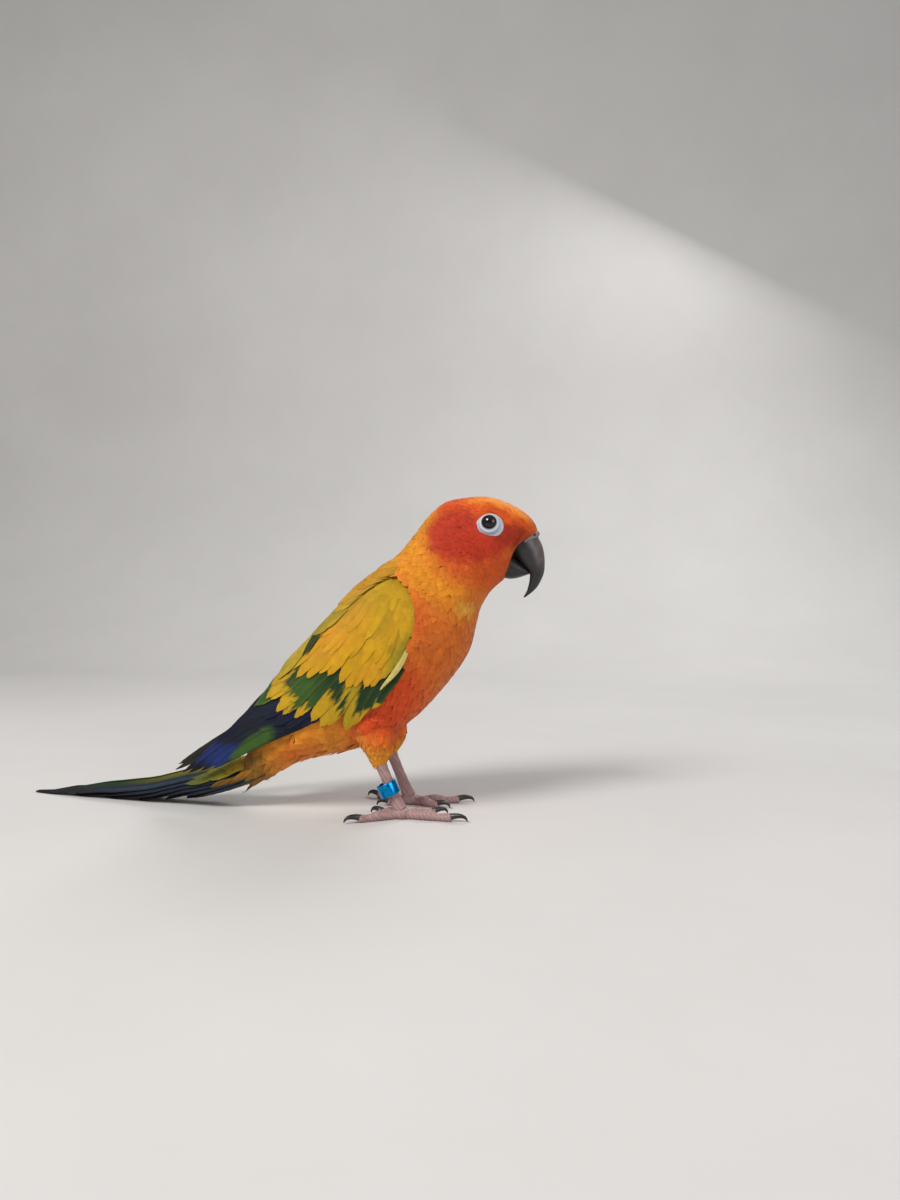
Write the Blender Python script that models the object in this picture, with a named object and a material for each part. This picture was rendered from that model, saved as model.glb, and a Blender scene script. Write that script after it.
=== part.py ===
"""A life-size sun conure that stands on the floor with its long tail laid along it.

The bird faces +X, its left side is +Y, and the floor is z = 0. Shapes are worked out in the bird's own
frame, with x = 0 between the feet, and every object is moved at the end so that the origin is the
middle of the floor under the whole bird.
"""

import math

import bmesh
import bpy
import numpy as np

MM = 0.001
GAP = 0.32 * MM  # the air between two neighbouring pieces
ORIGIN_SHIFT = (65.3 * MM, 0.0, 0.0)  # from the middle of the feet to the middle of the whole bird
RIGHT, LEFT = -1.0, 1.0  # the sign of y on each side

# Stations of the feathered body, from the tail root to the bill's base, in millimetres:
# back x, back z, belly x, belly z, half width
BODY_STATIONS = np.array([
    (-74.0, 29.0, -65.5, 14.5, 9.5),
    (-66.0, 42.0, -49.0, 23.5, 15.0),
    (-53.0, 64.0, -30.0, 28.0, 21.0),
    (-37.5, 84.0, -11.5, 33.5, 25.5),
    (-25.0, 98.0, 4.5, 44.0, 28.0),
    (-16.0, 106.5, 19.5, 60.0, 29.0),
    (-8.5, 115.0, 29.5, 74.5, 27.0),
    (-1.5, 122.0, 33.0, 86.5, 23.5),
    (5.0, 130.0, 35.0, 94.5, 20.0),
    (11.0, 138.0, 37.5, 99.5, 17.5),
    (19.0, 144.5, 40.0, 103.0, 16.2),
    (28.0, 146.5, 43.0, 106.0, 15.6),
    (38.0, 147.0, 45.5, 108.0, 15.2),
    (47.0, 144.5, 46.5, 109.5, 14.0),
    (54.5, 140.5, 48.0, 112.0, 12.0),
    (59.5, 136.0, 48.5, 116.5, 9.5),
    (62.0, 131.0, 49.0, 121.0, 7.0),
]) * MM
NECK_STARTS, HEAD_STARTS, BILL_STARTS = 7.0, 9.4, 16.0
BODY_SQUARENESS = 2.2  # 2 is an ellipse

# The smooth surface that a folded wing lies on, as the same five sizes, from behind the tips to the neck
WING_BED = np.array([
    (-133.0, 28.0, -119.0, -4.5, 7.0),
    (-114.5, 36.0, -97.5, 0.0, 9.0),
    (-93.5, 46.5, -74.5, 5.5, 13.0),
    (-72.5, 57.0, -51.5, 17.5, 19.0),
    (-53.0, 72.0, -28.0, 24.5, 22.0),
    (-38.0, 86.5, -9.5, 31.5, 25.5),
    (-26.0, 99.5, 7.0, 40.5, 27.8),
    (-17.0, 108.5, 19.5, 57.0, 28.5),
    (-9.5, 116.5, 30.5, 73.5, 26.7),
    (-2.5, 123.5, 35.0, 87.5, 23.6),
]) * MM

# The folded wing's outline seen from its side, from the wrist to the tip: upper x, z, lower x, z
WING_OUTLINE = np.array([
    (2.0, 108.0, 8.0, 104.0),
    (-8.0, 109.0, 10.5, 90.5),
    (-19.0, 102.5, 9.0, 76.5),
    (-31.0, 91.5, 0.0, 60.5),
    (-41.0, 79.5, -10.5, 48.5),
    (-50.5, 67.5, -23.5, 42.0),
    (-61.0, 55.0, -42.0, 37.5),
    (-73.0, 44.5, -58.5, 31.0),
    (-84.5, 34.0, -75.0, 25.0),
    (-96.0, 25.5, -91.0, 20.0),
    (-107.0, 18.0, -106.0, 17.0),
]) * MM

WRIST = (3.0 * MM, 100.0 * MM)
WING_LENGTH = 138 * MM  # from the wrist to the tip
WING_TIPS = {RIGHT: (-107.0, 16.5), LEFT: (-118.0, 15.0)}
CORE_ENDS = 5.8  # the row of the outline where the wing's core ends
VANE_THICKNESS = 0.55 * MM
SHINGLE_TILT = 1.0 * MM  # how much higher each vane's upper edge lies than its middle

TAIL_ROOT = (-68.5 * MM, 0.0, 14.5 * MM)  # under its middle
TAIL_BEND = 70 * MM  # the length over which the tail comes down to the floor
TAIL_LENGTHS = (130, 106, 87, 68, 53, 41)  # each pair's, from the middle pair out, in millimetres
TAIL_VANE_WIDTH = 9.0 * MM
TAIL_STACK = 1.75 * MM  # from each pair down to the next
TAIL_STOPS = np.array([3, 19, 35, 51, 67, 84, 104]) * MM  # where every tail feather is shaped
TAIL_YAW = math.radians(9)  # to the bird's left

EYE_X, EYE_Z = 40.2 * MM, 133.7 * MM
EYE_RADIUS = 4.6 * MM
EYE_OPENING = 3.5 * MM  # the radius of what shows of it
BARE_RING_RADII = (6.7 * MM, 6.1 * MM)
BARE_RING_STRETCH = 0.12  # its share of growth towards the bill and the throat
EYE_SINKS = 0.3 * MM  # how far the eye's front lies behind the head's side

# Upper and lower bill, from the base to the tip, in millimetres: outer x, z, inner x, z, half width
UPPER_BILL = np.array([
    (60.6, 129.8, 48.2, 121.9, 7.1),
    (63.3, 124.7, 50.9, 119.1, 7.0),
    (64.4, 120.5, 53.2, 116.3, 6.5),
    (64.7, 116.3, 55.6, 113.7, 5.6),
    (64.4, 112.1, 57.7, 111.6, 4.4),
    (63.3, 108.8, 57.9, 108.8, 3.2),
    (61.2, 105.1, 57.3, 105.5, 2.0),
    (58.6, 102.5, 56.5, 103.0, 1.1),
    (55.5, 100.3, 55.1, 100.6, 0.3),
]) * MM
LOWER_BILL = np.array([
    (47.4, 122.4, 43.4, 110.2, 6.6),
    (51.2, 119.2, 47.6, 108.8, 6.5),
    (54.4, 116.6, 50.9, 108.8, 5.9),
    (57.0, 114.0, 54.2, 109.6, 4.7),
    (58.6, 111.9, 57.6, 110.8, 3.0),
]) * MM
CERE_RADIUS = 1.55 * MM

FOOT_SPREAD = 14 * MM  # from the middle plane to each foot
HEEL_X, HEEL_Z = -10.0 * MM, 25.5 * MM
SHANK_RADIUS = 2.5 * MM
TOE_RADIUS = 2.1 * MM
# Each toe: its name, direction from straight ahead (positive towards the middle), length, claw length
TOES = [
    ("outer_front", -10.0, 25 * MM, 9.0 * MM),
    ("inner_front", 24.0, 17 * MM, 8.0 * MM),
    ("outer_back", -150.0, 21 * MM, 8.5 * MM),
    ("inner_back", 155.0, 12 * MM, 7.0 * MM),
]
BAND_OUTER, BAND_INNER, BAND_LENGTH = 4.7 * MM, 4.0 * MM, 6.0 * MM
BAND_PLACE = 0.56  # its middle's share of the way down the shank
BAND_REST = 0.9  # how near it comes to touching the front of the shank, where 1 touches
WING_AXIS = (0.798, 0.602)  # the way from the wing's tip to the wrist, as shares of x and z


def clear_scene():
    for obj in list(bpy.data.objects):
        bpy.data.objects.remove(obj)


def material(name, colour, roughness, metallic=0.0):
    made = bpy.data.materials.new(name)
    made.use_nodes = True
    shader = made.node_tree.nodes["Principled BSDF"]
    shader.inputs["Base Color"].default_value = (*colour, 1.0)
    shader.inputs["Roughness"].default_value = roughness
    shader.inputs["Metallic"].default_value = metallic
    made.diffuse_color = (*colour, 1.0)
    return made


def new_object(name, points, faces):
    mesh = bpy.data.meshes.new(name)
    mesh.from_pydata([tuple(map(float, p)) for p in points], [], faces)
    mesh.update()
    obj = bpy.data.objects.new(name, mesh)
    bpy.context.scene.collection.objects.link(obj)
    return obj


def loft(name, rings):
    """A closed body through rings of equally many points, with a flat cap at each end."""
    rings = np.asarray(rings)
    count, around = rings.shape[:2]
    faces = []
    for i in range(count - 1):
        for j in range(around):
            k = (j + 1) % around
            faces.append((i * around + j, i * around + k, (i + 1) * around + k, (i + 1) * around + j))
    faces.append(tuple(reversed(range(around))))
    faces.append(tuple((count - 1) * around + j for j in range(around)))
    obj = new_object(name, rings.reshape(-1, 3), faces)
    face_outwards(obj)
    return obj


def face_outwards(obj):
    mesh = bmesh.new()
    mesh.from_mesh(obj.data)
    bmesh.ops.recalc_face_normals(mesh, faces=mesh.faces)
    if mesh.calc_volume(signed=True) < 0:
        bmesh.ops.reverse_faces(mesh, faces=mesh.faces)
    mesh.to_mesh(obj.data)
    mesh.free()


def through(rows, at):
    """Rows of sizes read at places along them, on a smooth curve through every row."""
    rows = np.asarray(rows, float)
    at = np.clip(np.asarray(at, float), 0, len(rows) - 1)
    low = np.minimum(at.astype(int), len(rows) - 2)
    part = (at - low)[:, None]
    before = rows[np.maximum(low - 1, 0)]
    first, second = rows[low], rows[low + 1]
    after = rows[np.minimum(low + 2, len(rows) - 1)]
    return 0.5 * (
        2 * first
        + (second - before) * part
        + (2 * before - 5 * first + 4 * second - after) * part**2
        + (3 * first - before - 3 * second + after) * part**3
    )


def station_rings(stations, at, around, more=0.0, squareness=BODY_SQUARENESS):
    """Rings of a body given by its stations, each this much further out than the stations say."""
    rows = through(stations, at)
    high, low, half_width = rows[:, 0:2], rows[:, 2:4], rows[:, 4] + more
    centre, half = (high + low) / 2, (high - low) / 2
    depth = np.linalg.norm(half, axis=1)
    up = half / np.maximum(depth, 1e-9)[:, None]
    depth = depth + more
    angle = np.linspace(0, 2 * np.pi, around, endpoint=False)
    across = np.sign(np.sin(angle)) * np.abs(np.sin(angle)) ** (2 / squareness)
    along = np.sign(np.cos(angle)) * np.abs(np.cos(angle)) ** (2 / squareness)
    rings = np.zeros((len(rows), around, 3))
    rings[:, :, 0] = centre[:, 0:1] + (up[:, 0] * depth)[:, None] * along
    rings[:, :, 2] = centre[:, 1:2] + (up[:, 1] * depth)[:, None] * along
    rings[:, :, 1] = half_width[:, None] * across
    return rings


def tube(name, path, radii, sides):
    """A round bar along a path, with its own radius at each point."""
    path = np.asarray(path, float)
    tangent = np.gradient(path, axis=0)
    tangent /= np.linalg.norm(tangent, axis=1)[:, None]
    aside = np.cross(tangent, [0.0, 0.0, 1.0])
    aside[np.linalg.norm(aside, axis=1) < 1e-6] = (0.0, 1.0, 0.0)
    aside /= np.linalg.norm(aside, axis=1)[:, None]
    over = np.cross(aside, tangent)
    angle = np.linspace(0, 2 * np.pi, sides, endpoint=False)
    radii = np.asarray(radii, float)[:, None, None]
    rings = path[:, None] + radii * (
        aside[:, None] * np.cos(angle)[None, :, None] + over[:, None] * np.sin(angle)[None, :, None]
    )
    return loft(name, rings)


def baked(obj):
    """The object with its modifiers made part of its mesh."""
    graph = bpy.context.evaluated_depsgraph_get()
    mesh = bpy.data.meshes.new_from_object(obj.evaluated_get(graph))
    obj.modifiers.clear()
    obj.data = mesh
    return obj


def largest_only(obj):
    """Only the largest closed surface is kept, so that a scrap or a sealed hollow goes."""
    mesh = bmesh.new()
    mesh.from_mesh(obj.data)
    mesh.faces.ensure_lookup_table()
    left, groups = set(mesh.faces), []
    while left:
        group, edge = set(), [left.pop()]
        while edge:
            face = edge.pop()
            group.add(face)
            for near in {f for e in face.edges for f in e.link_faces} & left:
                left.discard(near)
                edge.append(near)
        groups.append(group)
    groups.sort(key=len, reverse=True)
    spare = [face for group in groups[1:] for face in group]
    bmesh.ops.delete(mesh, geom=spare, context="FACES")
    loose = [v for v in mesh.verts if not v.link_faces]
    bmesh.ops.delete(mesh, geom=loose, context="VERTS")
    mesh.to_mesh(obj.data)
    mesh.free()
    return obj


def cut_away(obj, cutters, solver="EXACT"):
    """What is left of obj clear of the cutters, which are then removed."""
    for cutter in cutters:
        cutting = obj.modifiers.new("cut", "BOOLEAN")
        cutting.operation = "DIFFERENCE"
        cutting.solver = solver
        cutting.object = cutter
        baked(obj)
        bpy.data.objects.remove(cutter)
    return largest_only(obj)


def joined(obj, others, solver="EXACT"):
    """One closed body from obj and the others, which are then removed."""
    group = bpy.data.collections.new("joined into " + obj.name)
    for other in others:
        group.objects.link(other)
    joining = obj.modifiers.new("join", "BOOLEAN")
    joining.operation = "UNION"
    joining.solver = solver
    joining.operand_type = "COLLECTION"
    joining.collection = group
    baked(obj)
    for other in list(group.objects):
        bpy.data.objects.remove(other)
    bpy.data.collections.remove(group)
    return largest_only(obj)


def swollen(obj, by=GAP):
    """A copy of a node's solid with every point moved out along its normal."""
    copy = bpy.data.objects.new(obj.name + " swollen", obj.data.copy())
    bpy.context.scene.collection.objects.link(copy)
    count = len(copy.data.vertices)
    points, normals = np.zeros(count * 3), np.zeros(count * 3)
    copy.data.vertices.foreach_get("co", points)
    copy.data.vertex_normals.foreach_get("vector", normals)
    copy.data.vertices.foreach_set("co", points + normals * by)
    copy.data.update()
    return copy


def below_floor():
    bpy.ops.mesh.primitive_cube_add(size=0.6, location=(0.0, 0.0, -0.3))
    return bpy.context.object


def finish(obj, finish_material):
    obj.data.materials.clear()
    obj.data.materials.append(finish_material)
    obj.data.shade_smooth()
    obj.data.set_sharp_from_angle(angle=math.radians(40))
    return obj


def body_part(name, start, end, rings_count, around=28):
    return loft(name, station_rings(BODY_STATIONS, np.linspace(start, end, rings_count), around))


def half_widths_at(x, z):
    """How far the body's side is from the middle plane at places seen from the side."""
    place, height = bed_place(BODY_STATIONS, x, z)
    width = through(BODY_STATIONS, place)[:, 4]
    inside = np.clip(1 - np.abs(height) ** BODY_SQUARENESS, 0, 1)
    return width * inside ** (1 / BODY_SQUARENESS)


def bed_place(stations, x, z):
    """The station, and the height between -1 and 1 on it, of places seen from the side."""
    at = np.linspace(0, len(stations) - 1, 400)
    rows = through(stations, at)
    centre, half = (rows[:, 0:2] + rows[:, 2:4]) / 2, (rows[:, 0:2] - rows[:, 2:4]) / 2
    depth = np.linalg.norm(half, axis=1)
    up = half / depth[:, None]
    away = np.stack([x, z], axis=-1)[:, None, :] - centre[None]
    off_line = np.abs(up[None, :, 0] * away[:, :, 1] - up[None, :, 1] * away[:, :, 0])
    height = (away * up[None]).sum(axis=2) / depth[None]
    off_line = off_line + 0.02 * np.maximum(np.abs(height) - 1, 0)
    best = off_line.argmin(axis=1)
    return at[best], height[np.arange(len(x)), best]


def on_wing_bed(x, z, lift, side):
    """Points of the bed under places seen from the side, lifted off it by so much."""
    shape = np.shape(x)
    x, z, lift = (np.broadcast_to(v, shape).ravel() for v in (x, z, lift))
    place, height = bed_place(WING_BED, x, z)
    rows = through(WING_BED, place)
    centre, half = (rows[:, 0:2] + rows[:, 2:4]) / 2, (rows[:, 0:2] - rows[:, 2:4]) / 2
    depth = np.linalg.norm(half, axis=1)
    up = half / depth[:, None]
    height = np.clip(height, -0.985, 0.985)
    rise = (depth + lift) * height
    out = (rows[:, 4] + lift) * np.sqrt(1 - height**2)
    points = np.stack(
        [centre[:, 0] + up[:, 0] * rise, side * out, centre[:, 1] + up[:, 1] * rise], axis=1
    )
    return points.reshape(*shape, 3)


def slab(name, outer, inner):
    """A closed slab between two grids of points of the same size, cut into triangles alike."""
    rows, columns = outer.shape[:2]
    count = rows * columns
    points = np.concatenate([outer.reshape(-1, 3), inner.reshape(-1, 3)])
    faces = []
    for i in range(rows - 1):
        for j in range(columns - 1):
            a, b = i * columns + j, i * columns + j + 1
            c, d = b + columns, a + columns
            faces += [(a, b, c), (a, c, d)]
            faces += [(count + a, count + c, count + b), (count + a, count + d, count + c)]
    rim = (
        [i * columns for i in range(rows)]
        + [(rows - 1) * columns + j for j in range(1, columns)]
        + [i * columns + columns - 1 for i in range(rows - 2, -1, -1)]
        + [j for j in range(columns - 2, 0, -1)]
    )
    for a, b in zip(rim, rim[1:] + rim[:1]):
        faces += [(a, count + b, b), (a, count + a, count + b)]
    obj = new_object(name, points, faces)
    face_outwards(obj)
    return obj


def core_lift(x, z):
    """The core's outer face above the bed, less and less towards the wing's tip."""
    along = ((WRIST[0] - x) * WING_AXIS[0] + (WRIST[1] - z) * WING_AXIS[1]) / WING_LENGTH
    return (2.2 - 2.1 * np.clip(along, 0, 1)) * MM


def wing_core(name, side, rows=10, columns=6):
    """The wing without its vanes: the bed they are rooted in, which is thickest at the wrist."""
    outline = through(WING_OUTLINE, np.linspace(0, CORE_ENDS, rows))
    across = np.linspace(0.05, 0.93, columns)
    x = outline[:, 0:1] + (outline[:, 2:3] - outline[:, 0:1]) * across
    z = outline[:, 1:2] + (outline[:, 3:4] - outline[:, 1:2]) * across
    bulge = np.sqrt(np.clip(1 - np.linspace(-1, 1, columns) ** 2, 0, 1))[None, :]
    outer = on_wing_bed(x, z, core_lift(x, z) * (0.2 + 0.8 * bulge), side)
    inner = on_wing_bed(x, z, (-0.5 - 1.3 * bulge) * MM, side)
    return slab(name, outer, inner)


def vane(name, root, tip, half_width, side, form):
    """One feather lying on the wing: a thin blade that rises from the core to its tip."""
    steps = np.array([0.0, form["emerges"], 0.68, 0.9, 1.0])
    share = np.array([0.3, 0.72, 1.0, form["blunt"], 0.14])
    height = np.array([-0.3, 0.95, 1.4, 2.0, 2.3])
    tilt_share = np.array([0.3, 1.0, 1.0, 0.8, 0.5])
    thickness = VANE_THICKNESS * np.array([1.0, 1.0, 1.0, 0.95, 0.75])
    root, tip = np.array(root) * MM, np.array(tip) * MM
    run = tip - root
    aside = np.array([-run[1], run[0]]) / np.linalg.norm(run)
    middle = root + run * steps[:, None]
    across = np.array(form["across"])
    spread = half_width * MM * share
    x = middle[:, 0:1] + aside[0] * spread[:, None] * across
    z = middle[:, 1:2] + aside[1] * spread[:, None] * across
    shingle = SHINGLE_TILT * (1 + across) * tilt_share[:, None] * half_width / 4.5
    lift = core_lift(x, z) + height[:, None] * MM + shingle
    return slab(
        name, on_wing_bed(x, z, lift, side), on_wing_bed(x, z, lift - thickness[:, None], side)
    )


def tier(name, roots, tips, count, half_widths, side, form):
    """Vanes side by side, their roots and tips spread evenly along two lines of points."""
    places = np.linspace(0, 1, count)
    root = through(roots, places * (len(roots) - 1))
    tip = through(tips, places * (len(tips) - 1))
    width = np.interp(places, [0, 1], half_widths)
    return [vane(f"{name} {i}", root[i], tip[i], width[i], side, form) for i in range(count)]


def feathered_wing(name, side):
    """The folded wing: the long vanes of the hand and arm, and the coverts in tiers over them."""
    tip_x, tip_z = WING_TIPS[side]
    long_form = {"emerges": 0.34, "blunt": 0.72, "across": (-1.0, 0.1, 1.0)}
    pointed_form = {"emerges": 0.34, "blunt": 0.55, "across": (-1.0, 0.1, 1.0)}
    short_form = {"emerges": 0.38, "blunt": 0.82, "across": (-1.0, 1.0)}
    vanes = tier(
        "primary", [(-26, 53), (-45, 64)],
        [(tip_x + 9, tip_z + 1), (tip_x, tip_z), (tip_x + 9, tip_z + 7), (tip_x + 20, tip_z + 15), (-76, 41)],
        6, (4.0, 4.6), side, pointed_form,
    )
    vanes += tier(
        "secondary", [(-20, 60), (-36, 78)], [(-58, 38.5), (-70, 42), (-66, 49), (-59, 56.5)],
        4, (5.5, 5.9), side, long_form,
    )
    vanes += tier(
        "greater covert", [(-2, 73), (-24, 93)], [(-17, 45), (-34, 46), (-49, 49), (-57, 55), (-50, 66)],
        5, (6.3, 6.7), side, short_form,
    )
    vanes += tier(
        "median covert", [(5, 88), (-15, 102)], [(-3, 58.5), (-20, 59), (-35, 64), (-43, 73)],
        4, (6.8, 7.2), side, short_form,
    )
    return joined(wing_core(name, side), vanes, "MANIFOLD")


def tail_path(along):
    """Points under the tail's middle, which comes down to the floor and runs along it."""
    along = np.asarray(along, float)
    left = 1 - np.minimum(along, TAIL_BEND) / TAIL_BEND
    slope = 2 * TAIL_ROOT[2] / TAIL_BEND
    run = along - slope**2 / 6 * TAIL_BEND * (1 - left**3)
    x = TAIL_ROOT[0] - run * math.cos(TAIL_YAW)
    y = TAIL_ROOT[1] + run * math.sin(TAIL_YAW)
    return np.stack([x, y, TAIL_ROOT[2] * left**2], axis=-1)


def along_tail(along, off, up):
    """Points so far along the tail's path, to the left of it and above it."""
    points = np.repeat(tail_path(along)[:, None], off.shape[1], axis=1)
    points[:, :, 0] += math.sin(TAIL_YAW) * off
    points[:, :, 1] += math.cos(TAIL_YAW) * off
    points[:, :, 2] += up
    return points


def tail_vane(name, pair, side, lengths):
    """One tail feather: the middle pair is longest and on top, the others lie lower and wider."""
    length = lengths[pair]
    reach = TAIL_STOPS[TAIL_STOPS < length - 6 * MM]
    along = np.append(reach, [length - 4 * MM, length])
    left = (length - along) / (length - along[0])
    width = TAIL_VANE_WIDTH * np.clip(0.14 + 1.9 * left**0.75, 0, 1) * np.clip(0.8 + along / (80 * MM), 0, 1)
    tilt = np.interp(along, [0, 120 * MM], np.radians([40, 25]))[:, None]
    below = np.clip((lengths[pair + 1:, None] + 14 * MM - along) / (14 * MM), 0, 1).sum(axis=0)
    across = np.array([0.0, 1.0])
    spread = width[:, None] * (1 - across)
    inner = 0.15 * MM + 0.5 * MM * pair
    if pair == 0 and side == LEFT:
        inner = -0.9 * MM
    middle = inner + (TAIL_VANE_WIDTH * 0.4 - 0.2 * MM) * np.clip(0.35 + 2.2 * left, 0, 1)
    off = side * (middle[:, None] + width[:, None] * (across - 0.5) * np.cos(tilt))
    up = TAIL_STACK * below[:, None] + spread * np.sin(tilt) + VANE_THICKNESS
    return slab(name, along_tail(along, off, up), along_tail(along, off, up - VANE_THICKNESS * 1.2))


def tail_covert(name, upward, place_across, length):
    """One of the short feathers that cover the tail's root above or below."""
    steps = np.array([0.0, 0.45, 0.8, 1.0])
    width = 3.8 * MM * np.array([0.8, 1.0, 0.8, 0.15])
    off = place_across * (1 + 0.1 * steps[:, None]) + width[:, None] * np.array([-1.0, 1.0])
    half_depth = np.interp(steps * length, [0, 40 * MM], [7.3 * MM, 6.0 * MM])[:, None]
    roundness = np.sqrt(np.clip(1 - (off / (10.5 * MM)) ** 2, 0.05, 1))
    lift = np.array([-0.6, 0.3, 0.9, 0.9])[:, None] * MM
    up = half_depth + upward * (half_depth * roundness + lift)
    return slab(
        name, along_tail(steps * length, off, up),
        along_tail(steps * length, off, up - upward * VANE_THICKNESS),
    )


def feathered_tail(name):
    """The folded tail: graduated pairs under one another, with coverts over and under the root."""
    along = np.array([-2, 6, 14, 22, 30]) * MM
    half_width = np.array([9.2, 9.0, 8.0, 6.0, 3.0]) * MM
    half_height = np.array([7.3, 7.0, 6.0, 4.2, 1.6]) * MM
    angle = np.linspace(0, 2 * np.pi, 14, endpoint=False)
    off = half_width[:, None] * np.sin(angle)
    up = 7.3 * MM + half_height[:, None] * np.cos(angle)
    rings = along_tail(np.maximum(along, 0), off, up)
    rings[:, :, 0] -= np.minimum(along, 0)[:, None]
    lengths = np.array(TAIL_LENGTHS) * MM
    vanes = [
        tail_vane(f"rectrix {pair} {side}", pair, side, lengths)
        for pair in range(len(lengths)) for side in (RIGHT, LEFT)
    ]
    for place, length in ((-5.0, 27), (0.0, 36), (5.0, 27)):
        vanes.append(tail_covert(f"upper covert {place}", 1, place * MM, length * MM))
        vanes.append(tail_covert(f"under covert {place}", -1, place * MM, (length - 8) * MM))
    return joined(loft(name, rings), vanes, "MANIFOLD")


def eye_centre(side):
    out = half_widths_at(np.array([EYE_X]), np.array([EYE_Z]))[0]
    sunk = math.sqrt(EYE_RADIUS**2 - EYE_OPENING**2)
    return np.array([EYE_X, side * (out - sunk - EYE_SINKS), EYE_Z])


def ball(name, centre, radii, segments, rings):
    bpy.ops.mesh.primitive_uv_sphere_add(segments=segments, ring_count=rings, radius=1.0)
    obj = bpy.context.object
    obj.name = name
    obj.rotation_euler = (math.pi / 2, 0, 0)
    bpy.ops.object.transform_apply(location=False, rotation=True, scale=False)
    for vertex in obj.data.vertices:
        vertex.co = [centre[k] + vertex.co[k] * radii[k] for k in range(3)]
    return obj


def eyelid_ring(name, side, around=22):
    """The bare ring round the eye: a low, rounded rim that lies on the head."""
    profile = [(0.50, 0.8), (0.60, 1.15), (0.80, 0.75), (1.0, 0.2), (0.95, -0.9), (0.52, -0.9)]
    share, lift = np.array(profile).T
    angle = np.linspace(0, 2 * np.pi, around, endpoint=False)[:, None]
    stretch = 1 + (share - 0.5) * BARE_RING_STRETCH * (np.cos(angle) - np.sin(angle))
    x = EYE_X + BARE_RING_RADII[0] * share * stretch * np.cos(angle)
    z = EYE_Z + BARE_RING_RADII[1] * share * stretch * np.sin(angle)
    out = half_widths_at(x.ravel(), z.ravel()).reshape(x.shape)
    rings = np.stack([x, side * (out + lift * MM), z], axis=-1)
    return closed_ring(name, rings)


def closed_ring(name, rings):
    """A closed body that runs round and back into itself, through rings of equally many points."""
    count, around = rings.shape[:2]
    faces = [
        (i * around + j, i * around + (j + 1) % around,
         (i + 1) % count * around + (j + 1) % around, (i + 1) % count * around + j)
        for i in range(count) for j in range(around)
    ]
    obj = new_object(name, rings.reshape(-1, 3), faces)
    face_outwards(obj)
    return obj


def thigh(name, side):
    """The feathered upper leg, from inside the flank to the heel."""
    sizes = np.array([
        (-13.0, 14.0, 50.0, 13.0),
        (-12.0, 15.0, 42.0, 12.0),
        (-10.5, 15.0, 35.5, 9.2),
        (-10.0, 14.8, 30.0, 6.4),
        (-10.0, 14.5, 26.5, 4.4),
        (-10.0, 14.5, 25.0, 3.4),
    ]) * MM
    rows = through(sizes, np.linspace(0, len(sizes) - 1, 9))
    angle = np.linspace(0, 2 * np.pi, 18, endpoint=False)
    rings = np.stack(
        [
            rows[:, 0:1] + rows[:, 3:4] * np.cos(angle),
            side * rows[:, 1:2] + 0.85 * rows[:, 3:4] * np.sin(angle),
            np.repeat(rows[:, 2:3], len(angle), axis=1),
        ],
        axis=-1,
    )
    return loft(name, rings)


def toe_direction(degrees, side):
    turn = math.radians(degrees)
    return np.array([math.cos(turn), -side * math.sin(turn), 0.0])


def foot(name, side):
    """The bare shank and its four toes, flat under every pad."""
    centre = np.array([0.0, side * FOOT_SPREAD, 0.0])
    heel = np.array([HEEL_X, side * 14.5 * MM, HEEL_Z + 1.0 * MM])
    ankle = centre + [-0.5 * MM, 0, 4.5 * MM]
    share = np.linspace(0, 1, 6)[:, None]
    path = heel + (ankle - heel) * share
    shank = tube(name, path, np.array([2.9, 2.5, 2.4, 2.4, 2.7, 3.2]) * MM, 12)
    pieces = [ball("sole", centre + [0, 0, 2.4 * MM], (4.4 * MM, 4.0 * MM, 3.0 * MM), 14, 8)]
    for toe_name, degrees, length, _ in TOES:
        steps = np.linspace(0, 1, 8)
        pads = 1 + 0.12 * np.cos(steps * math.pi * 4)
        taper = 1.12 - 0.3 * steps
        height = TOE_RADIUS * taper * pads * 0.9
        line = centre + toe_direction(degrees, side) * (steps * length)[:, None]
        line[:, 2] = height
        pieces.append(tube(toe_name, line, TOE_RADIUS * taper * pads, 8))
    joined(shank, pieces)
    return cut_away(shank, [below_floor()])


def claw(name, side, degrees, toe_length, length):
    """A curved claw that springs from the toe's end and touches the floor with its tip."""
    centre = np.array([0.0, side * FOOT_SPREAD, 0.0])
    steps = np.linspace(0, 1, 7)
    reach = toe_length - 1.2 * MM + length * 0.86 * np.sin(steps * math.pi / 2 * 0.95)
    line = centre + toe_direction(degrees, side) * reach[:, None]
    line[:, 2] = (2.1 + 1.5 * np.sin(steps * math.pi * 0.75) - 2.6 * steps**2) * MM
    radii = (1.35 * (1 - steps) ** 0.75 + 0.22) * MM
    line[:, 2] = np.maximum(line[:, 2], radii + 0.02 * MM)
    return tube(name, line, radii, 8)


def leg_band(name, side):
    """A plain closed band that hangs loosely round the shank."""
    heel = np.array([HEEL_X, side * 14.5 * MM, HEEL_Z])
    ankle = np.array([-0.5 * MM, side * FOOT_SPREAD, 4.5 * MM])
    axis = (ankle - heel) / np.linalg.norm(ankle - heel)
    middle = heel + (ankle - heel) * BAND_PLACE
    aside = np.cross(axis, [0.0, 1.0, 0.0])
    aside /= np.linalg.norm(aside)
    over = np.cross(aside, axis)
    middle = middle - aside * (BAND_INNER - SHANK_RADIUS - GAP) * BAND_REST
    profile = [
        (BAND_INNER, -0.5), (BAND_INNER, 0.5), (BAND_OUTER - 0.2 * MM, 0.5),
        (BAND_OUTER, 0.44), (BAND_OUTER, -0.44), (BAND_OUTER - 0.2 * MM, -0.5),
    ]
    angle = np.linspace(0, 2 * np.pi, 20, endpoint=False)
    rings = []
    for turn in angle:
        outward = aside * math.cos(turn) + over * math.sin(turn)
        rings.append([middle + outward * radius + axis * BAND_LENGTH * where for radius, where in profile])
    return closed_ring(name, np.array(rings))


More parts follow.
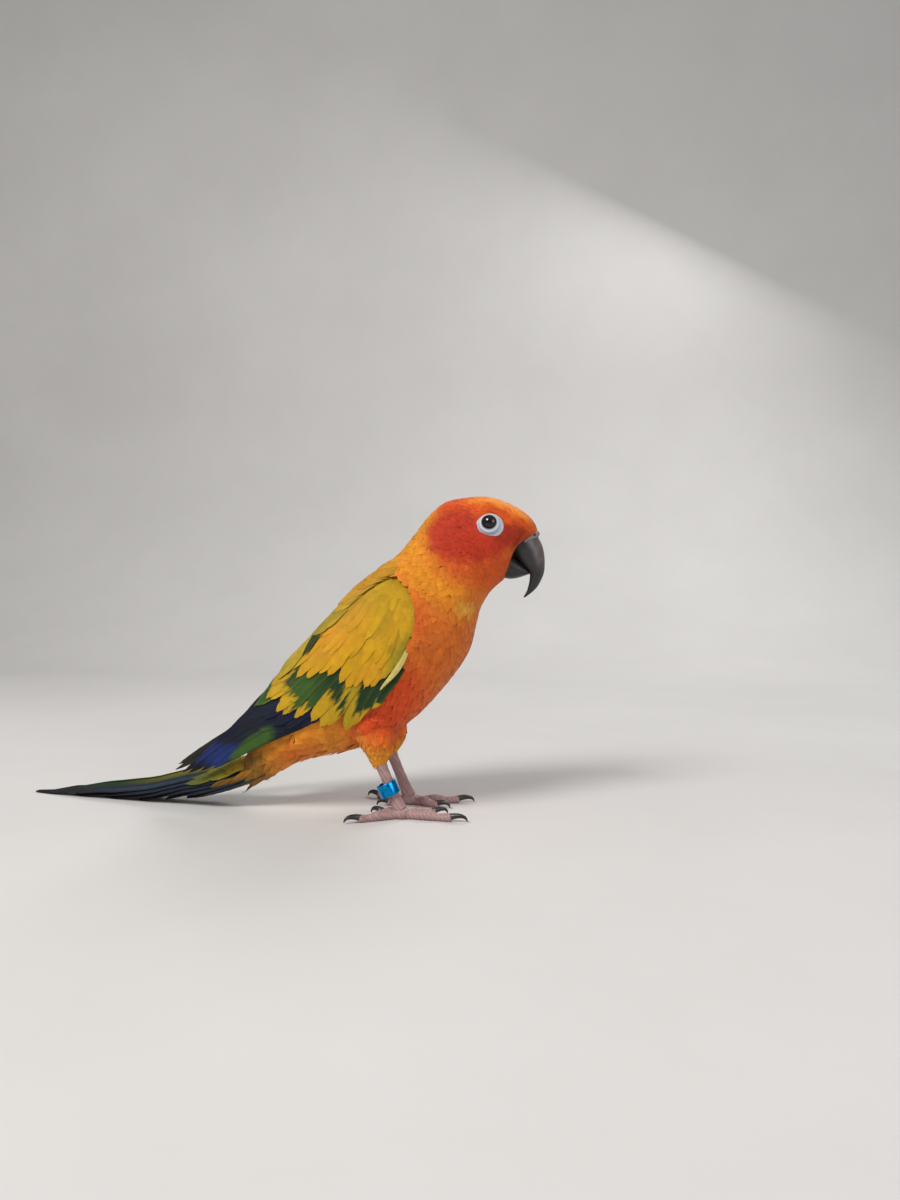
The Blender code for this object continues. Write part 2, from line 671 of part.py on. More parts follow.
def cere_piece(name):
    """The soft saddle over the top of the bill's base, with a nostril on each side."""
    turn = np.linspace(-1, 1, 13)
    path = np.stack(
        [(61.0 - 5.5 * turn**2) * MM, turn * 6.3 * MM, (129.6 - 4.3 * turn**2) * MM], axis=-1
    )
    return tube(name, path, CERE_RADIUS * (1.05 - 0.35 * turn**2), 10)


def build():
    clear_scene()
    body_orange = material("orange feathers", (0.85, 0.30, 0.03), 0.75)
    head_red = material("red feathers", (0.75, 0.12, 0.03), 0.75)
    neck_yellow = material("yellow feathers", (0.85, 0.45, 0.03), 0.75)
    wing_yellow = material("wing feathers", (0.75, 0.55, 0.03), 0.65)
    tail_green = material("tail feathers", (0.10, 0.14, 0.04), 0.6)
    horn_black = material("black horn", (0.03, 0.03, 0.035), 0.35)
    bare_skin = material("bare skin", (0.75, 0.76, 0.80), 0.55)
    foot_skin = material("foot skin", (0.42, 0.30, 0.30), 0.6)
    eye_dark = material("dark eye", (0.01, 0.008, 0.008), 0.05)
    band_blue = material("blue band", (0.0, 0.35, 0.75), 0.25, 1.0)

    torso = body_part("torso", 0.0, NECK_STARTS, 17, 24)
    neck = body_part("neck", NECK_STARTS + 0.035, HEAD_STARTS - 0.05, 6, 26)
    head = body_part("head", HEAD_STARTS, BILL_STARTS, 17, 22)
    finish(torso, body_orange)
    finish(neck, neck_yellow)

    lids = []
    for side, side_name in ((RIGHT, "right"), (LEFT, "left")):
        centre = eye_centre(side)
        eye = ball("eye_" + side_name, centre, (EYE_RADIUS,) * 3, 16, 9)
        cut_away(head, [swollen(eye)])
        eyelid = eyelid_ring("eyelid_" + side_name, side)
        lids.append((eyelid, eye))
        finish(eye, eye_dark)
    for eyelid, eye in lids:
        cut_away(eyelid, [swollen(eye), swollen(head)])
        finish(eyelid, bare_skin)
    finish(head, head_red)

    upper = loft("bill_upper", station_rings(UPPER_BILL, np.linspace(0, 8, 16), 14))
    cere = cere_piece("cere")
    cut_away(cere, [swollen(head)])
    cut_away(upper, [swollen(head), swollen(cere)])
    lower = loft("bill_lower", station_rings(LOWER_BILL, np.linspace(0, 4, 8), 14))
    cut_away(lower, [swollen(head), swollen(upper)])
    finish(upper, horn_black)
    finish(lower, horn_black)
    finish(cere, bare_skin)

    tail = feathered_tail("tail")
    cut_away(tail, [swollen(torso), below_floor()], "MANIFOLD")
    finish(tail, tail_green)

    for side, side_name in ((RIGHT, "right"), (LEFT, "left")):
        leg = thigh("thigh_" + side_name, side)
        cut_away(leg, [swollen(torso)])
        shank = foot("foot_" + side_name, side)
        cut_away(shank, [swollen(leg)])
        for toe_name, degrees, toe_length, length in TOES:
            nail = claw(f"claw_{side_name}_{toe_name}", side, degrees, toe_length, length)
            cut_away(nail, [swollen(shank)])
            finish(nail, horn_black)
        if side == RIGHT:
            band = leg_band("leg_band", side)
            cut_away(band, [swollen(shank), swollen(leg)])
            finish(band, band_blue)
        wing = feathered_wing("wing_" + side_name, side)
        cut_away(wing, [swollen(torso), swollen(leg)], "MANIFOLD")
        finish(leg, body_orange)
        finish(shank, foot_skin)
        finish(wing, wing_yellow)

    parts = bpy.data.collections.new("sun conure")
    bpy.context.scene.collection.children.link(parts)
    for obj in list(bpy.data.objects):
        for holder in list(obj.users_collection):
            holder.objects.unlink(obj)
        parts.objects.link(obj)
        obj.location = ORIGIN_SHIFT


build()
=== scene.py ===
import math

import bpy
import numpy as np
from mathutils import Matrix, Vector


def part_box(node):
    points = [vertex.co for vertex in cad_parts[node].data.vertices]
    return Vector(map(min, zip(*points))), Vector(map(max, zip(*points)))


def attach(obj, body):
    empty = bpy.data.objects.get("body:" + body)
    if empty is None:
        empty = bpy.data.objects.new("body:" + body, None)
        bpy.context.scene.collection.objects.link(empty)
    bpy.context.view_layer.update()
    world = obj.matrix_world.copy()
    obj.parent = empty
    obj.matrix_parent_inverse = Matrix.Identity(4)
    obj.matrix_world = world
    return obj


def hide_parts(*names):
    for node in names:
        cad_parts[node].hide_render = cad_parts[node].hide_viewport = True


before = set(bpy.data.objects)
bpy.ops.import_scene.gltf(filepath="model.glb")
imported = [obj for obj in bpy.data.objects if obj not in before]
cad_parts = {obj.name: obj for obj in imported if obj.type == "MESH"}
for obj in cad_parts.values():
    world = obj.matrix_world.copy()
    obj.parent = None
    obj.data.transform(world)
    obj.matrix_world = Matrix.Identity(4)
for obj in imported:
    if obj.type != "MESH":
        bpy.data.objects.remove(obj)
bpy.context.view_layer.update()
print("frame loaded")

mm = 0.001
chance = np.random.default_rng(11)
scene = bpy.context.scene
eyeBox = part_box("eye_right")
eyeSpot = (40.2, 133.7)  # the eye's centre seen from the side, in mm, with x from the feet
birdX = (eyeBox[0].x + eyeBox[1].x) / 2 - eyeSpot[0] * mm  # where the feet stand in the frame

# The feathered body, tail root to bill base, in mm: back x, z, belly x, z, half width
bodyRows = np.array([
    (-74.0, 29.0, -65.5, 14.5, 9.5),
    (-66.0, 42.0, -49.0, 23.5, 15.0),
    (-53.0, 64.0, -30.0, 28.0, 21.0),
    (-37.5, 84.0, -11.5, 33.5, 25.5),
    (-25.0, 98.0, 4.5, 44.0, 28.0),
    (-16.0, 106.5, 19.5, 60.0, 29.0),
    (-8.5, 115.0, 29.5, 74.5, 27.0),
    (-1.5, 122.0, 33.0, 86.5, 23.5),
    (5.0, 130.0, 35.0, 94.5, 20.0),
    (11.0, 138.0, 37.5, 99.5, 17.5),
    (19.0, 144.5, 40.0, 103.0, 16.2),
    (28.0, 146.5, 43.0, 106.0, 15.6),
    (38.0, 147.0, 45.5, 108.0, 15.2),
    (47.0, 144.5, 46.5, 109.5, 14.0),
    (54.5, 140.5, 48.0, 112.0, 12.0),
    (59.5, 136.0, 48.5, 116.5, 9.5),
    (62.0, 131.0, 49.0, 121.0, 7.0),
])

# The smooth surface that a folded wing lies on, in the same five sizes
bedRows = np.array([
    (-133.0, 28.0, -119.0, -4.5, 7.0),
    (-114.5, 36.0, -97.5, 0.0, 9.0),
    (-93.5, 46.5, -74.5, 5.5, 13.0),
    (-72.5, 57.0, -51.5, 17.5, 19.0),
    (-53.0, 72.0, -28.0, 24.5, 22.0),
    (-38.0, 86.5, -9.5, 31.5, 25.5),
    (-26.0, 99.5, 7.0, 40.5, 27.8),
    (-17.0, 108.5, 19.5, 57.0, 28.5),
    (-9.5, 116.5, 30.5, 73.5, 26.7),
    (-2.5, 123.5, 35.0, 87.5, 23.6),
])


def linear(colour):
    # a colour as it looks on a screen, 0 to 255, to the shader's own scale
    share = np.asarray(colour, float) / 255
    return np.where(share <= 0.04045, share / 12.92, ((share + 0.055) / 1.055) ** 2.4)


def fade(value, low, high):
    # 0 below low, 1 above high, with a smooth S between
    share = np.clip((value - low) / (high - low), 0, 1)
    return share * share * (3 - 2 * share)


def blend(first, second, share):
    # the first colour turned into the second by a share from 0 to 1
    return first + (second - first) * np.asarray(share)[..., None]


def ringTurns(count):
    # equal turns round a closed ring
    return np.linspace(0, 2 * np.pi, count, endpoint=False)


def wrapped(around):
    # a turn brought between minus and plus half a circle, 0 at the back's ridge
    return np.mod(around + np.pi, 2 * np.pi) - np.pi


def middleOf(nodeName):
    # the middle of a solid's box, in mm from the feet
    low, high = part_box(nodeName)
    return (np.array(low) + np.array(high)) / 2 / mm - [birdX / mm, 0, 0]


def along(rows, at):
    # a cubic through every row, steered by the row before and the row after, and straight on past its ends
    at = np.asarray(at, float)
    inside = np.clip(at, 0, len(rows) - 1)
    low = np.clip(np.floor(inside).astype(int), 0, len(rows) - 2)
    part = (inside - low)[..., None]
    before, after = rows[np.maximum(low - 1, 0)], rows[np.minimum(low + 2, len(rows) - 1)]
    first, second = rows[low], rows[low + 1]
    curve = 0.5 * (
        2 * first + (second - before) * part
        + (2 * before - 5 * first + 4 * second - after) * part**2
        + (3 * first - before - 3 * second + after) * part**3
    )
    return curve + 0.6 * (at - inside)[..., None] * (second - first)


bodyPower = 2.2  # 2 is an ellipse


def crossSection(sizes):
    # the middle of each cross-section, half its depth, and the way from its belly to its back
    middle, half = (sizes[..., 0:2] + sizes[..., 2:4]) / 2, (sizes[..., 0:2] - sizes[..., 2:4]) / 2
    depth = np.linalg.norm(half, axis=-1)
    return middle, depth, half / depth[..., None]


def onSection(middle, up, rise, out):
    # a place so far up and so far out from the middle of its cross-section
    return np.stack([middle[..., 0] + up[..., 0] * rise, out, middle[..., 1] + up[..., 1] * rise], -1)


def bodySurface(at, around, lift):
    # middle + up (half depth + lift) cos + out (half width + lift) sin, a little squarer than an ellipse
    sizes = along(bodyRows, at)
    middle, depth, up = crossSection(sizes)
    power = 2 / bodyPower
    rise = np.sign(np.cos(around)) * np.abs(np.cos(around)) ** power * (depth + lift)
    out = np.sign(np.sin(around)) * np.abs(np.sin(around)) ** power * (sizes[..., 4] + lift)
    return onSection(middle, up, rise, out)


def headRelief(at, around):
    # mm added to the head for full cheeks and a brow, and taken from the eye's socket and the lores
    turn = np.abs(wrapped(around))

    def hump(height, atMiddle, turnMiddle, atSize, turnSize):
        # height times a bell along the body and a bell round it
        return height * np.exp(-(((at - atMiddle) / atSize) ** 2) - ((turn - turnMiddle) / turnSize) ** 2)

    return (
        hump(0.9, 11.4, 1.95, 1.1, 0.5) + hump(0.7, 12.7, 0.75, 0.9, 0.25)
        + hump(-0.75, 14.2, 1.5, 0.8, 0.45) + hump(-0.6, 12.5, 1.3, 0.8, 0.35)
    )


sideLimit = 0.985  # the nearest that a place comes to the ridge, as a share of the half depth


def sideSurface(rows, x, z, lift, side, power, limit=sideLimit):
    # the cross-section that holds a place seen from the side, then how far out its wall is there: half
    # width + lift, times the power's root of 1 - height to that power
    at = np.linspace(0, len(rows) - 1, 181)
    middle, depth, up = crossSection(along(rows, at))
    awayX, awayZ = np.ravel(x)[:, None] - middle[:, 0], np.ravel(z)[:, None] - middle[:, 1]
    past = up[:, 0] * awayZ - up[:, 1] * awayX
    height = (awayX * up[:, 0] + awayZ * up[:, 1]) / depth
    first = (np.abs(past) + 0.5 * np.maximum(np.abs(height) - 1, 0)).argmin(1)
    index = np.arange(len(first))
    here = past[index, first]
    after, before = np.minimum(first + 1, len(at) - 1), np.maximum(first - 1, 0)
    toAfter = here * past[index, after] < 0
    toBefore = ~toAfter & (here * past[index, before] < 0)
    other = np.where(toAfter, past[index, after], past[index, before])
    share = np.where(toAfter | toBefore, here / np.where(here == other, 1, here - other), 0)
    place = at[first] + share * (at[1] - at[0]) * np.where(toBefore, -1, 1)
    sizes = along(rows, place).reshape(*np.shape(x), 5)
    middle, depth, up = crossSection(sizes)
    height = ((x - middle[..., 0]) * up[..., 0] + (z - middle[..., 1]) * up[..., 1]) / depth
    height = np.clip(height, -sideLimit, limit)
    out = (sizes[..., 4] + lift) * (1 - np.abs(height) ** power) ** (1 / power)
    return onSection(middle, up, (depth + lift) * height, side * out)


def edgeDistance(line, x, z):
    # mm from each place to the nearest point of a line of places, above zero on the line's left
    place = np.stack([x, z], -1)[..., None, :]
    start, run = line[:-1], np.diff(line, axis=0)
    share = np.clip(((place - start) * run).sum(-1) / (run**2).sum(-1), 0, 1)
    away = place - start - share[..., None] * run
    far = np.linalg.norm(away, axis=-1)
    outside = np.sign(away[..., 1] * run[:, 0] - away[..., 0] * run[:, 1])
    return np.take_along_axis(far * outside, far.argmin(-1)[..., None], -1)[..., 0]


def bedSurface(x, z, lift, side, limit):
    # the wing's bed has ellipses for its cross-sections
    return sideSurface(bedRows, x, z, lift, side, 2.0, limit)


def toFrame(points):
    # mm from the feet to metres in the shared frame
    return points * mm + np.array([birdX, 0.0, 0.0])


def makeMesh(name, points, faces, material, colours=None, maps=None, sharp=None):
    # points in mm in the bird's own frame, faces an array with one row of corners for each
    mesh = bpy.data.meshes.new(name)
    faces = np.asarray(faces, np.int32)
    sides = faces.shape[1]
    mesh.vertices.add(len(points))
    mesh.vertices.foreach_set("co", toFrame(np.asarray(points, float)).astype(np.float32).ravel())
    mesh.loops.add(faces.size)
    mesh.loops.foreach_set("vertex_index", faces.ravel())
    mesh.polygons.add(len(faces))
    mesh.polygons.foreach_set("loop_start", np.arange(0, faces.size, sides, dtype=np.int32))
    mesh.update(calc_edges=True)
    mesh.validate()
    if colours is not None:
        layer = mesh.color_attributes.new("plumage", "FLOAT_COLOR", "POINT")
        rgba = np.ones((len(points), 4), np.float32)
        rgba[:, :3] = colours
        layer.data.foreach_set("color", rgba.ravel())
    corners = np.zeros(len(mesh.loops), np.int32)
    mesh.loops.foreach_get("vertex_index", corners)
    for mapName, places in (maps or {}).items():
        layer = mesh.uv_layers.new(name=mapName)
        layer.data.foreach_set("uv", np.asarray(places, np.float32)[corners].ravel())
    mesh.materials.append(material)
    mesh.shade_smooth()
    if sharp:
        mesh.set_sharp_from_angle(angle=math.radians(sharp))
    piece = bpy.data.objects.new(name, mesh)
    scene.collection.objects.link(piece)
    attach(piece, "root")
    return piece


def gridFaces(rows, columns, closed=False):
    # the quads of a grid, closed across when its last column joins its first
    row, column = np.meshgrid(np.arange(rows - 1), np.arange(columns - (not closed)), indexing="ij")
    row, column = row.ravel(), column.ravel()
    beside = (column + 1) % columns
    return np.stack([row * columns + column, row * columns + beside,
                     (row + 1) * columns + beside, (row + 1) * columns + column], 1)


def facing(points, faces, outward):
    # the faces, all turned over where they face against the directions that point outwards
    quad = points[faces]
    normal = np.cross(quad[:, 1] - quad[:, 0], quad[:, 3] - quad[:, 0])
    return faces if (normal * outward).sum() >= 0 else faces[:, ::-1]


def withPoles(rings):
    # the rings' values in one list, then the mean of the first ring and of the last
    return np.concatenate([rings.reshape(-1, 3), rings[:1].mean(1), rings[-1:].mean(1)])


def tubeMesh(name, rings, material, colours=None, sharp=None):
    # a closed skin over rings of points, with a middle point closing each end
    count, around = rings.shape[:2]
    points = withPoles(rings)
    body = gridFaces(count, around, True)
    here = np.arange(around)
    beside = (here + 1) % around
    poles = np.full((2, around), count * around) + [[0], [1]]
    first = np.stack([beside, here, poles[0]], 1)
    last = np.stack([(count - 1) * around + here, (count - 1) * around + beside, poles[1]], 1)
    quads = np.concatenate([body[:, [0, 1, 2]], body[:, [0, 2, 3]]])
    faces = np.concatenate([quads, first, last])
    inner = points[faces]
    volume = np.einsum("ij,ij->i", inner[:, 0], np.cross(inner[:, 1], inner[:, 2])).sum()
    if volume < 0:
        faces = faces[:, ::-1]
    if colours is not None:
        colours = withPoles(colours)
    return makeMesh(name, points, faces, material, colours, None, sharp)


def vaneMesh(name, top, bottom, topColour, bottomColour, patch, material):
    # many feathers at once: count x rows x columns points above, as many below, and a rim round each
    count, rows, columns = top.shape[:3]
    row, column = rows // 2, columns // 2
    acrossWay, alongWay = top[:, row, -1] - top[:, row, 0], top[:, -1, column] - top[:, 0, column]
    outWay = top[:, row, column] - bottom[:, row, column]
    wrong = np.einsum("ij,ij->i", np.cross(acrossWay, alongWay), outWay) < 0
    for grid in (top, bottom, topColour, bottomColour):
        grid[wrong] = grid[wrong][:, :, ::-1]
    each = rows * columns
    face = gridFaces(rows, columns)
    rim = np.concatenate([
        np.arange(columns), columns - 1 + columns * np.arange(1, rows),
        each - 1 - np.arange(1, columns), columns * np.arange(rows - 2, 0, -1),
    ])
    nextRim = np.roll(rim, -1)
    edge = np.stack([nextRim, rim, rim + each, nextRim + each], 1)
    single = np.concatenate([face, face[:, ::-1] + each, edge])
    faces = (single[None] + 2 * each * np.arange(count)[:, None, None]).reshape(-1, 4)
    points = np.stack([top, bottom], 1).reshape(-1, 3)
    colours = np.stack([topColour, bottomColour], 1).reshape(-1, 3)
    across, down = np.meshgrid(np.linspace(0, 1, columns), np.linspace(0, 1, rows))
    flat = np.broadcast_to(np.stack([across, down], -1), (count, 2, rows, columns, 2))
    centre, size = patch
    bake = centre[:, None, None, None] + (flat - 0.5) * np.asarray(size)
    maps = {"OFBake": bake.reshape(-1, 2), "vane": flat.reshape(-1, 2)}
    return makeMesh(name, points, faces, material, colours, maps, 50)


# Materials

def fill(tree, made, sockets):
    # each of a node's sockets is set to a value, or joined to another node's output
    for key, value in sockets.items():
        if isinstance(value, bpy.types.NodeSocket):
            tree.links.new(value, made.inputs[key])
        else:
            made.inputs[key].default_value = value


def node(tree, kind, sockets=None, **values):
    # a shader node with its settings and its sockets
    made = tree.nodes.new(kind)
    for key, value in values.items():
        setattr(made, key, value)
    fill(tree, made, sockets or {})
    return made


def newMaterial(name):
    # a material and the tree of nodes in it
    made = bpy.data.materials.new(name)
    made.use_nodes = True
    return made, made.node_tree


def barbGroup():
    # fine slanting barbs on each side of a shaft, and soft unevenness of the colour
    group = bpy.data.node_groups.new("featherBarbs", "ShaderNodeTree")
    face = group.interface
    face.new_socket("Plumage", in_out="INPUT", socket_type="NodeSocketColor")
    for name, value in (("Barb Count", 30.0), ("Barb Depth", 0.25), ("Mottle", 0.2)):
        face.new_socket(name, in_out="INPUT", socket_type="NodeSocketFloat").default_value = value
    face.new_socket("Colour", in_out="OUTPUT", socket_type="NodeSocketColor")
    face.new_socket("Height", in_out="OUTPUT", socket_type="NodeSocketFloat")

    def put(kind, sockets=None, **values):
        # a node of this group
        return node(group, kind, sockets, **values)

    def reckon(operation, *values):
        # the outcome of one sum
        return put("ShaderNodeMath", dict(enumerate(values)), operation=operation).outputs[0]

    entry = put("NodeGroupInput").outputs
    flat = put("ShaderNodeUVMap", uv_map="vane").outputs["UV"]
    place = put("ShaderNodeTexCoord").outputs["Object"]
    split = put("ShaderNodeSeparateXYZ", {0: flat}).outputs
    fromShaft = reckon("ABSOLUTE", reckon("SUBTRACT", split["X"], 0.5))
    barbPlace = reckon("ADD", reckon("MULTIPLY", fromShaft, -0.55), split["Y"])
    turns = reckon("MULTIPLY", barbPlace, entry["Barb Count"])
    coarse = put("ShaderNodeTexNoise", {"Vector": place, "Scale": 260.0, "Detail": 3.0, "Roughness": 0.6})
    fine = put("ShaderNodeTexNoise", {"Vector": place, "Scale": 1500.0, "Detail": 2.0})
    stray = reckon("MULTIPLY_ADD", fine.outputs["Fac"], 1.5, turns)
    barb = reckon("MULTIPLY", reckon("PINGPONG", reckon("FRACT", stray), 0.5), 2.0)
    shaft = put("ShaderNodeMapRange", {
        "Value": fromShaft, "From Min": 0.0, "From Max": 0.035, "To Min": 1.0, "To Max": 0.0})
    depth = reckon("MULTIPLY", barb, entry["Barb Depth"])
    mottle = reckon("MULTIPLY", reckon("ADD", coarse.outputs["Fac"], -0.5), entry["Mottle"])
    bright = reckon("ADD", reckon("SUBTRACT", mottle, depth), 1.0)
    tint = put("ShaderNodeVectorMath", {0: entry["Plumage"], "Scale": bright}, operation="SCALE")
    put("NodeGroupOutput", {
        "Colour": tint.outputs[0], "Height": reckon("MAXIMUM", barb, shaft.outputs[0])})
    return group


barbs = barbGroup()


def featherMaterial(name, look):
    # the feather's own colour from its attribute, crossed by barbs, under a soft sheen
    made, tree = newMaterial(name)
    plume = node(tree, "ShaderNodeAttribute", attribute_name="plumage")
    barb = node(tree, "ShaderNodeGroup", {
        "Plumage": plume.outputs["Color"], "Barb Count": look["barbCount"],
        "Barb Depth": look["barbDepth"], "Mottle": look["mottle"]}, node_tree=barbs)
    bump = node(tree, "ShaderNodeBump", {
        "Strength": look["bump"], "Distance": 0.0002, "Height": barb.outputs["Height"]})
    fill(tree, tree.nodes["Principled BSDF"], {
        "Roughness": look["roughness"], "Specular IOR Level": look["gloss"], "Sheen Weight": look["sheen"],
        "Sheen Roughness": 0.5, "Base Color": barb.outputs["Colour"], "Normal": bump.outputs["Normal"]})
    return made


coatLook = {"roughness": 0.66, "gloss": 0.2, "sheen": 0.06, "barbCount": 11.0, "barbDepth": 0.14,
            "mottle": 0.35, "bump": 0.3}
wingLook = {"roughness": 0.55, "gloss": 0.24, "sheen": 0.03, "barbCount": 60.0, "barbDepth": 0.22,
            "mottle": 0.5, "bump": 0.45}
coatMaterial = featherMaterial("softPlumage", coatLook)
wingMaterial = featherMaterial("flightPlumage", wingLook)


def noisyMaterial(name, look):
    # one colour broken up by noise, with bump from the same noise
    made, tree = newMaterial(name)
    place = node(tree, "ShaderNodeTexCoord")
    noise = node(tree, "ShaderNodeTexNoise", {
        "Vector": place.outputs["Object"], "Scale": look["scale"], "Detail": 5.0, "Roughness": 0.65})
    ramp = node(tree, "ShaderNodeValToRGB", {"Fac": noise.outputs["Fac"]})
    for stop, position, colour in zip(ramp.color_ramp.elements, (0.32, 0.68), (look["dark"], look["pale"])):
        stop.position, stop.color = position, (*linear(colour), 1)
    bump = node(tree, "ShaderNodeBump", {
        "Strength": look["bump"], "Distance": 0.0002, "Height": noise.outputs["Fac"]})
    fill(tree, tree.nodes["Principled BSDF"], {
        "Roughness": look["roughness"], "Metallic": look["metallic"], "Specular IOR Level": look["gloss"],
        "Base Color": ramp.outputs["Color"], "Normal": bump.outputs["Normal"]})
    return made


# Plumage of the body, seen from the side in mm

plumage = {
    "neck": linear((218, 130, 26)), "nape": linear((222, 142, 30)), "crown": linear((216, 84, 24)),
    "face": linear((180, 48, 22)), "lores": linear((160, 42, 20)), "forehead": linear((238, 138, 28)),
    "cheek": linear((206, 84, 26)), "breast": linear((210, 102, 30)), "flank": linear((214, 72, 26)),
    "belly": linear((222, 132, 34)), "vent": linear((134, 92, 32)), "back": linear((204, 156, 30)),
    "rump": linear((206, 146, 38)), "spot": linear((226, 178, 74)), "edge": linear((240, 172, 52)),
}

# The top of the head, x and z in mm
crownLine = ((19, 28, 38, 47, 54.5, 59.5, 62), (144.5, 146.5, 147, 144.5, 140.5, 136, 131))


def spotMask(x, z, middle, size, turn=0.0, soft=0.35):
    # 1 inside an ellipse and 0 outside it, with a soft rim
    cosine, sine = math.cos(math.radians(turn)), math.sin(math.radians(turn))
    ahead, above = x - middle[0], z - middle[1]
    far = np.hypot((ahead * cosine + above * sine) / size[0], (above * cosine - ahead * sine) / size[1])
    return 1 - fade(far, 1 - soft, 1 + soft)


# The front edge of the folded wing from the back down to the flank, x and z in mm
wingFront = np.array([
    (-13, 110), (-6, 111), (1, 109), (6.5, 104.5), (9.5, 98), (10.3, 90), (8.5, 81), (4, 73)])


def bodyColour(points):
    # the markings as soft spots and bands laid over one another, alike on both sides
    x, y, z = points[..., 0], np.abs(points[..., 1]), points[..., 2]
    breadth = np.clip(y / 13, 0, 1)
    wander = np.sin(x * 0.9 + z * 0.5) * np.sin(z * 0.7 - y * 0.6)
    x, z = x + 0.8 * wander, z + 0.8 * wander
    colour = np.broadcast_to(plumage["breast"], points.shape).copy()
    backness = fade(z - (0.86 * x + 96), -6, 8)
    for name, share in (
        ("belly", fade(-x - 0.25 * z, -6, 14)),
        ("vent", fade(-x, 46, 68) * fade(-z, -42, -26)),
        ("back", backness),
        ("rump", backness * fade(-x, 34, 60)),
        ("neck", fade(z + 0.45 * x, 100, 118)),
        ("nape", fade(z - 1.1 * x, 108, 122) * fade(z, 103, 113) * 0.8),
        ("flank", spotMask(x, z, (-2, 56), (13, 20), -38, 0.5)),
        ("flank", fade(-edgeDistance(wingFront, x, z), -8, -2) * fade(z, 82, 92) * fade(y, 4, 12) * 0.42),
        ("flank", spotMask(x, z, (-42, 32), (9, 5), 10, 0.6) * 0.45),
        ("breast", spotMask(x, z, (38, 102), (9, 7), 40, 0.6) * 0.7),
        ("crown", fade(x - 0.2 * (z - 140), 13, 21) * fade(z + 0.1 * x, 138, 143)),
        ("cheek", spotMask(x, z, (35, 118), (17, 11), -16, 0.45)),
        ("cheek", spotMask(x, z, (46, 113), (7, 8), 0, 0.6)),
        ("crown", fade(x, 38, 44) * fade(z, 120, 128)),
        ("face", spotMask(x, z, (27, 130), (14.5, 11.5), -12, 0.3) * (0.3 + 0.7 * breadth)),
        ("face", spotMask(x, z, (41, 124), (11, 6), 15, 0.4) * breadth),
        ("lores", spotMask(x, z, (50, 128), (10, 5.5), -12, 0.4) * (0.2 + 0.8 * breadth)),
        ("forehead", fade(-(np.interp(x, *crownLine) - z), -6.0, -2.2) * fade(x, 27, 40)),
        ("crown", fade(x, 57, 60.5) * 0.7),
        ("spot", spotMask(x, z, (31, 98), (4.2, 2.8), 0, 0.5) * fade(y, 5, 11) * 0.5),
    ):
        colour = blend(colour, plumage[name], share)
    return colour


# Skin

skin = {"depth": (0.85, 0.38), "headStarts": (9.0, 11.0), "rings": 150, "around": 120}

legRows = np.array([
    (-14.5, 12.0, 52.0, 12.0), (-13.0, 13.2, 43.0, 11.4), (-11.0, 14.4, 36.0, 9.2),
    (-10.0, 14.8, 30.5, 6.6), (-10.0, 14.5, 27.0, 4.4), (-10.0, 14.5, 25.0, 3.3),
])  # x, out, z and radius of the feathered leg, from the flank to the heel, in mm
legBreadth = 0.85  # its half width's share of its half length


def legSurface(at, around, lift, side):
    # an ellipse round the leg's middle: the radius and lift by the cosine in x and by the sine in y
    rows = along(legRows, at)
    radius = rows[..., 3] + lift
    out = rows[..., 1] + legBreadth * radius * np.sin(around)
    return np.stack([rows[..., 0] + radius * np.cos(around), side * out, rows[..., 2] + 0 * radius], -1)


def flankSurface(at, around, lift):
    # the body, pushed out where the leg's top would stand out of it: to the leg's middle + breadth times
    # the root of radius squared - distance squared
    points = bodySurface(at, around, lift)
    x, y, z = points[..., 0], points[..., 1], points[..., 2]
    legX, legY, legZ, legRadius = legRows[::-1].T
    radius = np.interp(z, legZ, legRadius) * fade(-z, -60, -50)
    reach = np.sqrt(np.maximum(radius**2 - (x - np.interp(z, legZ, legX)) ** 2, 0))
    legSide = np.where(reach > 0, np.interp(z, legZ, legY) + legBreadth * reach + 0.4 + lift, 0)
    rows = along(bodyRows, at)
    share = fade(np.abs(y) / rows[..., 4], 0.35, 0.8) * fade(z, 26, 34)
    points[..., 1] = np.sign(y) * (np.abs(y) + np.maximum(legSide - np.abs(y), 0) * share)
    return points


# Feathers that lie on a rounded surface

def layFeathers(surface, at, around, length, width, way, form):
    # each feather is laid along and across the surface in mm, as wide at each step as its share says, and
    # raised by rise + camber (1 - across squared)
    count, columns = len(at), form["columns"]
    steps = np.array(form["steps"])[None, :, None]
    across = np.linspace(-1, 1, columns)[None, None, :]
    share = np.array(form["shares"])[None, :, None]
    length, width = length[:, None, None], width[:, None, None]
    nudge = 0.02
    alongSize = np.linalg.norm(surface(at + nudge, around, 0) - surface(at - nudge, around, 0), axis=-1)
    aroundSize = np.linalg.norm(surface(at, around + nudge, 0) - surface(at, around - nudge, 0), axis=-1)
    turn = chance.normal(0, 1, count)[:, None, None] * np.reshape(form["stray"], (-1, 1, 1))
    fray = chance.normal(0, form["fray"], (count, 1, columns)) * steps
    ahead = steps * length * (1 + 0.35 * fray) - form["round"] * across**2 * share * width * steps
    aside = across * share * width * (1 + fray)
    newAt = at[:, None, None] + way * (
        ahead * np.cos(turn) - aside * np.sin(turn)) * 2 * nudge / alongSize[:, None, None]
    newAround = around[:, None, None] + (
        ahead * np.sin(turn) + aside * np.cos(turn)) * 2 * nudge / aroundSize[:, None, None]
    scale = np.clip(length / 11, 0.3, 1.1) ** 0.8
    rise = np.array(form["rise"])[None, :, None] * scale
    rise = rise * np.clip(chance.normal(1, 0.22, count), 0.6, 1.5)[:, None, None]
    rise = rise + np.reshape(form["tipLift"], (-1, 1, 1)) * steps**2
    lift = rise + form["camber"] * scale * (1 - across**2) * share + np.reshape(form["lift"], (-1, 1, 1))
    thin = form["thickness"] * scale * (1 - 0.5 * steps)
    return surface(newAt, newAround, lift), surface(newAt, newAround, lift - thin)


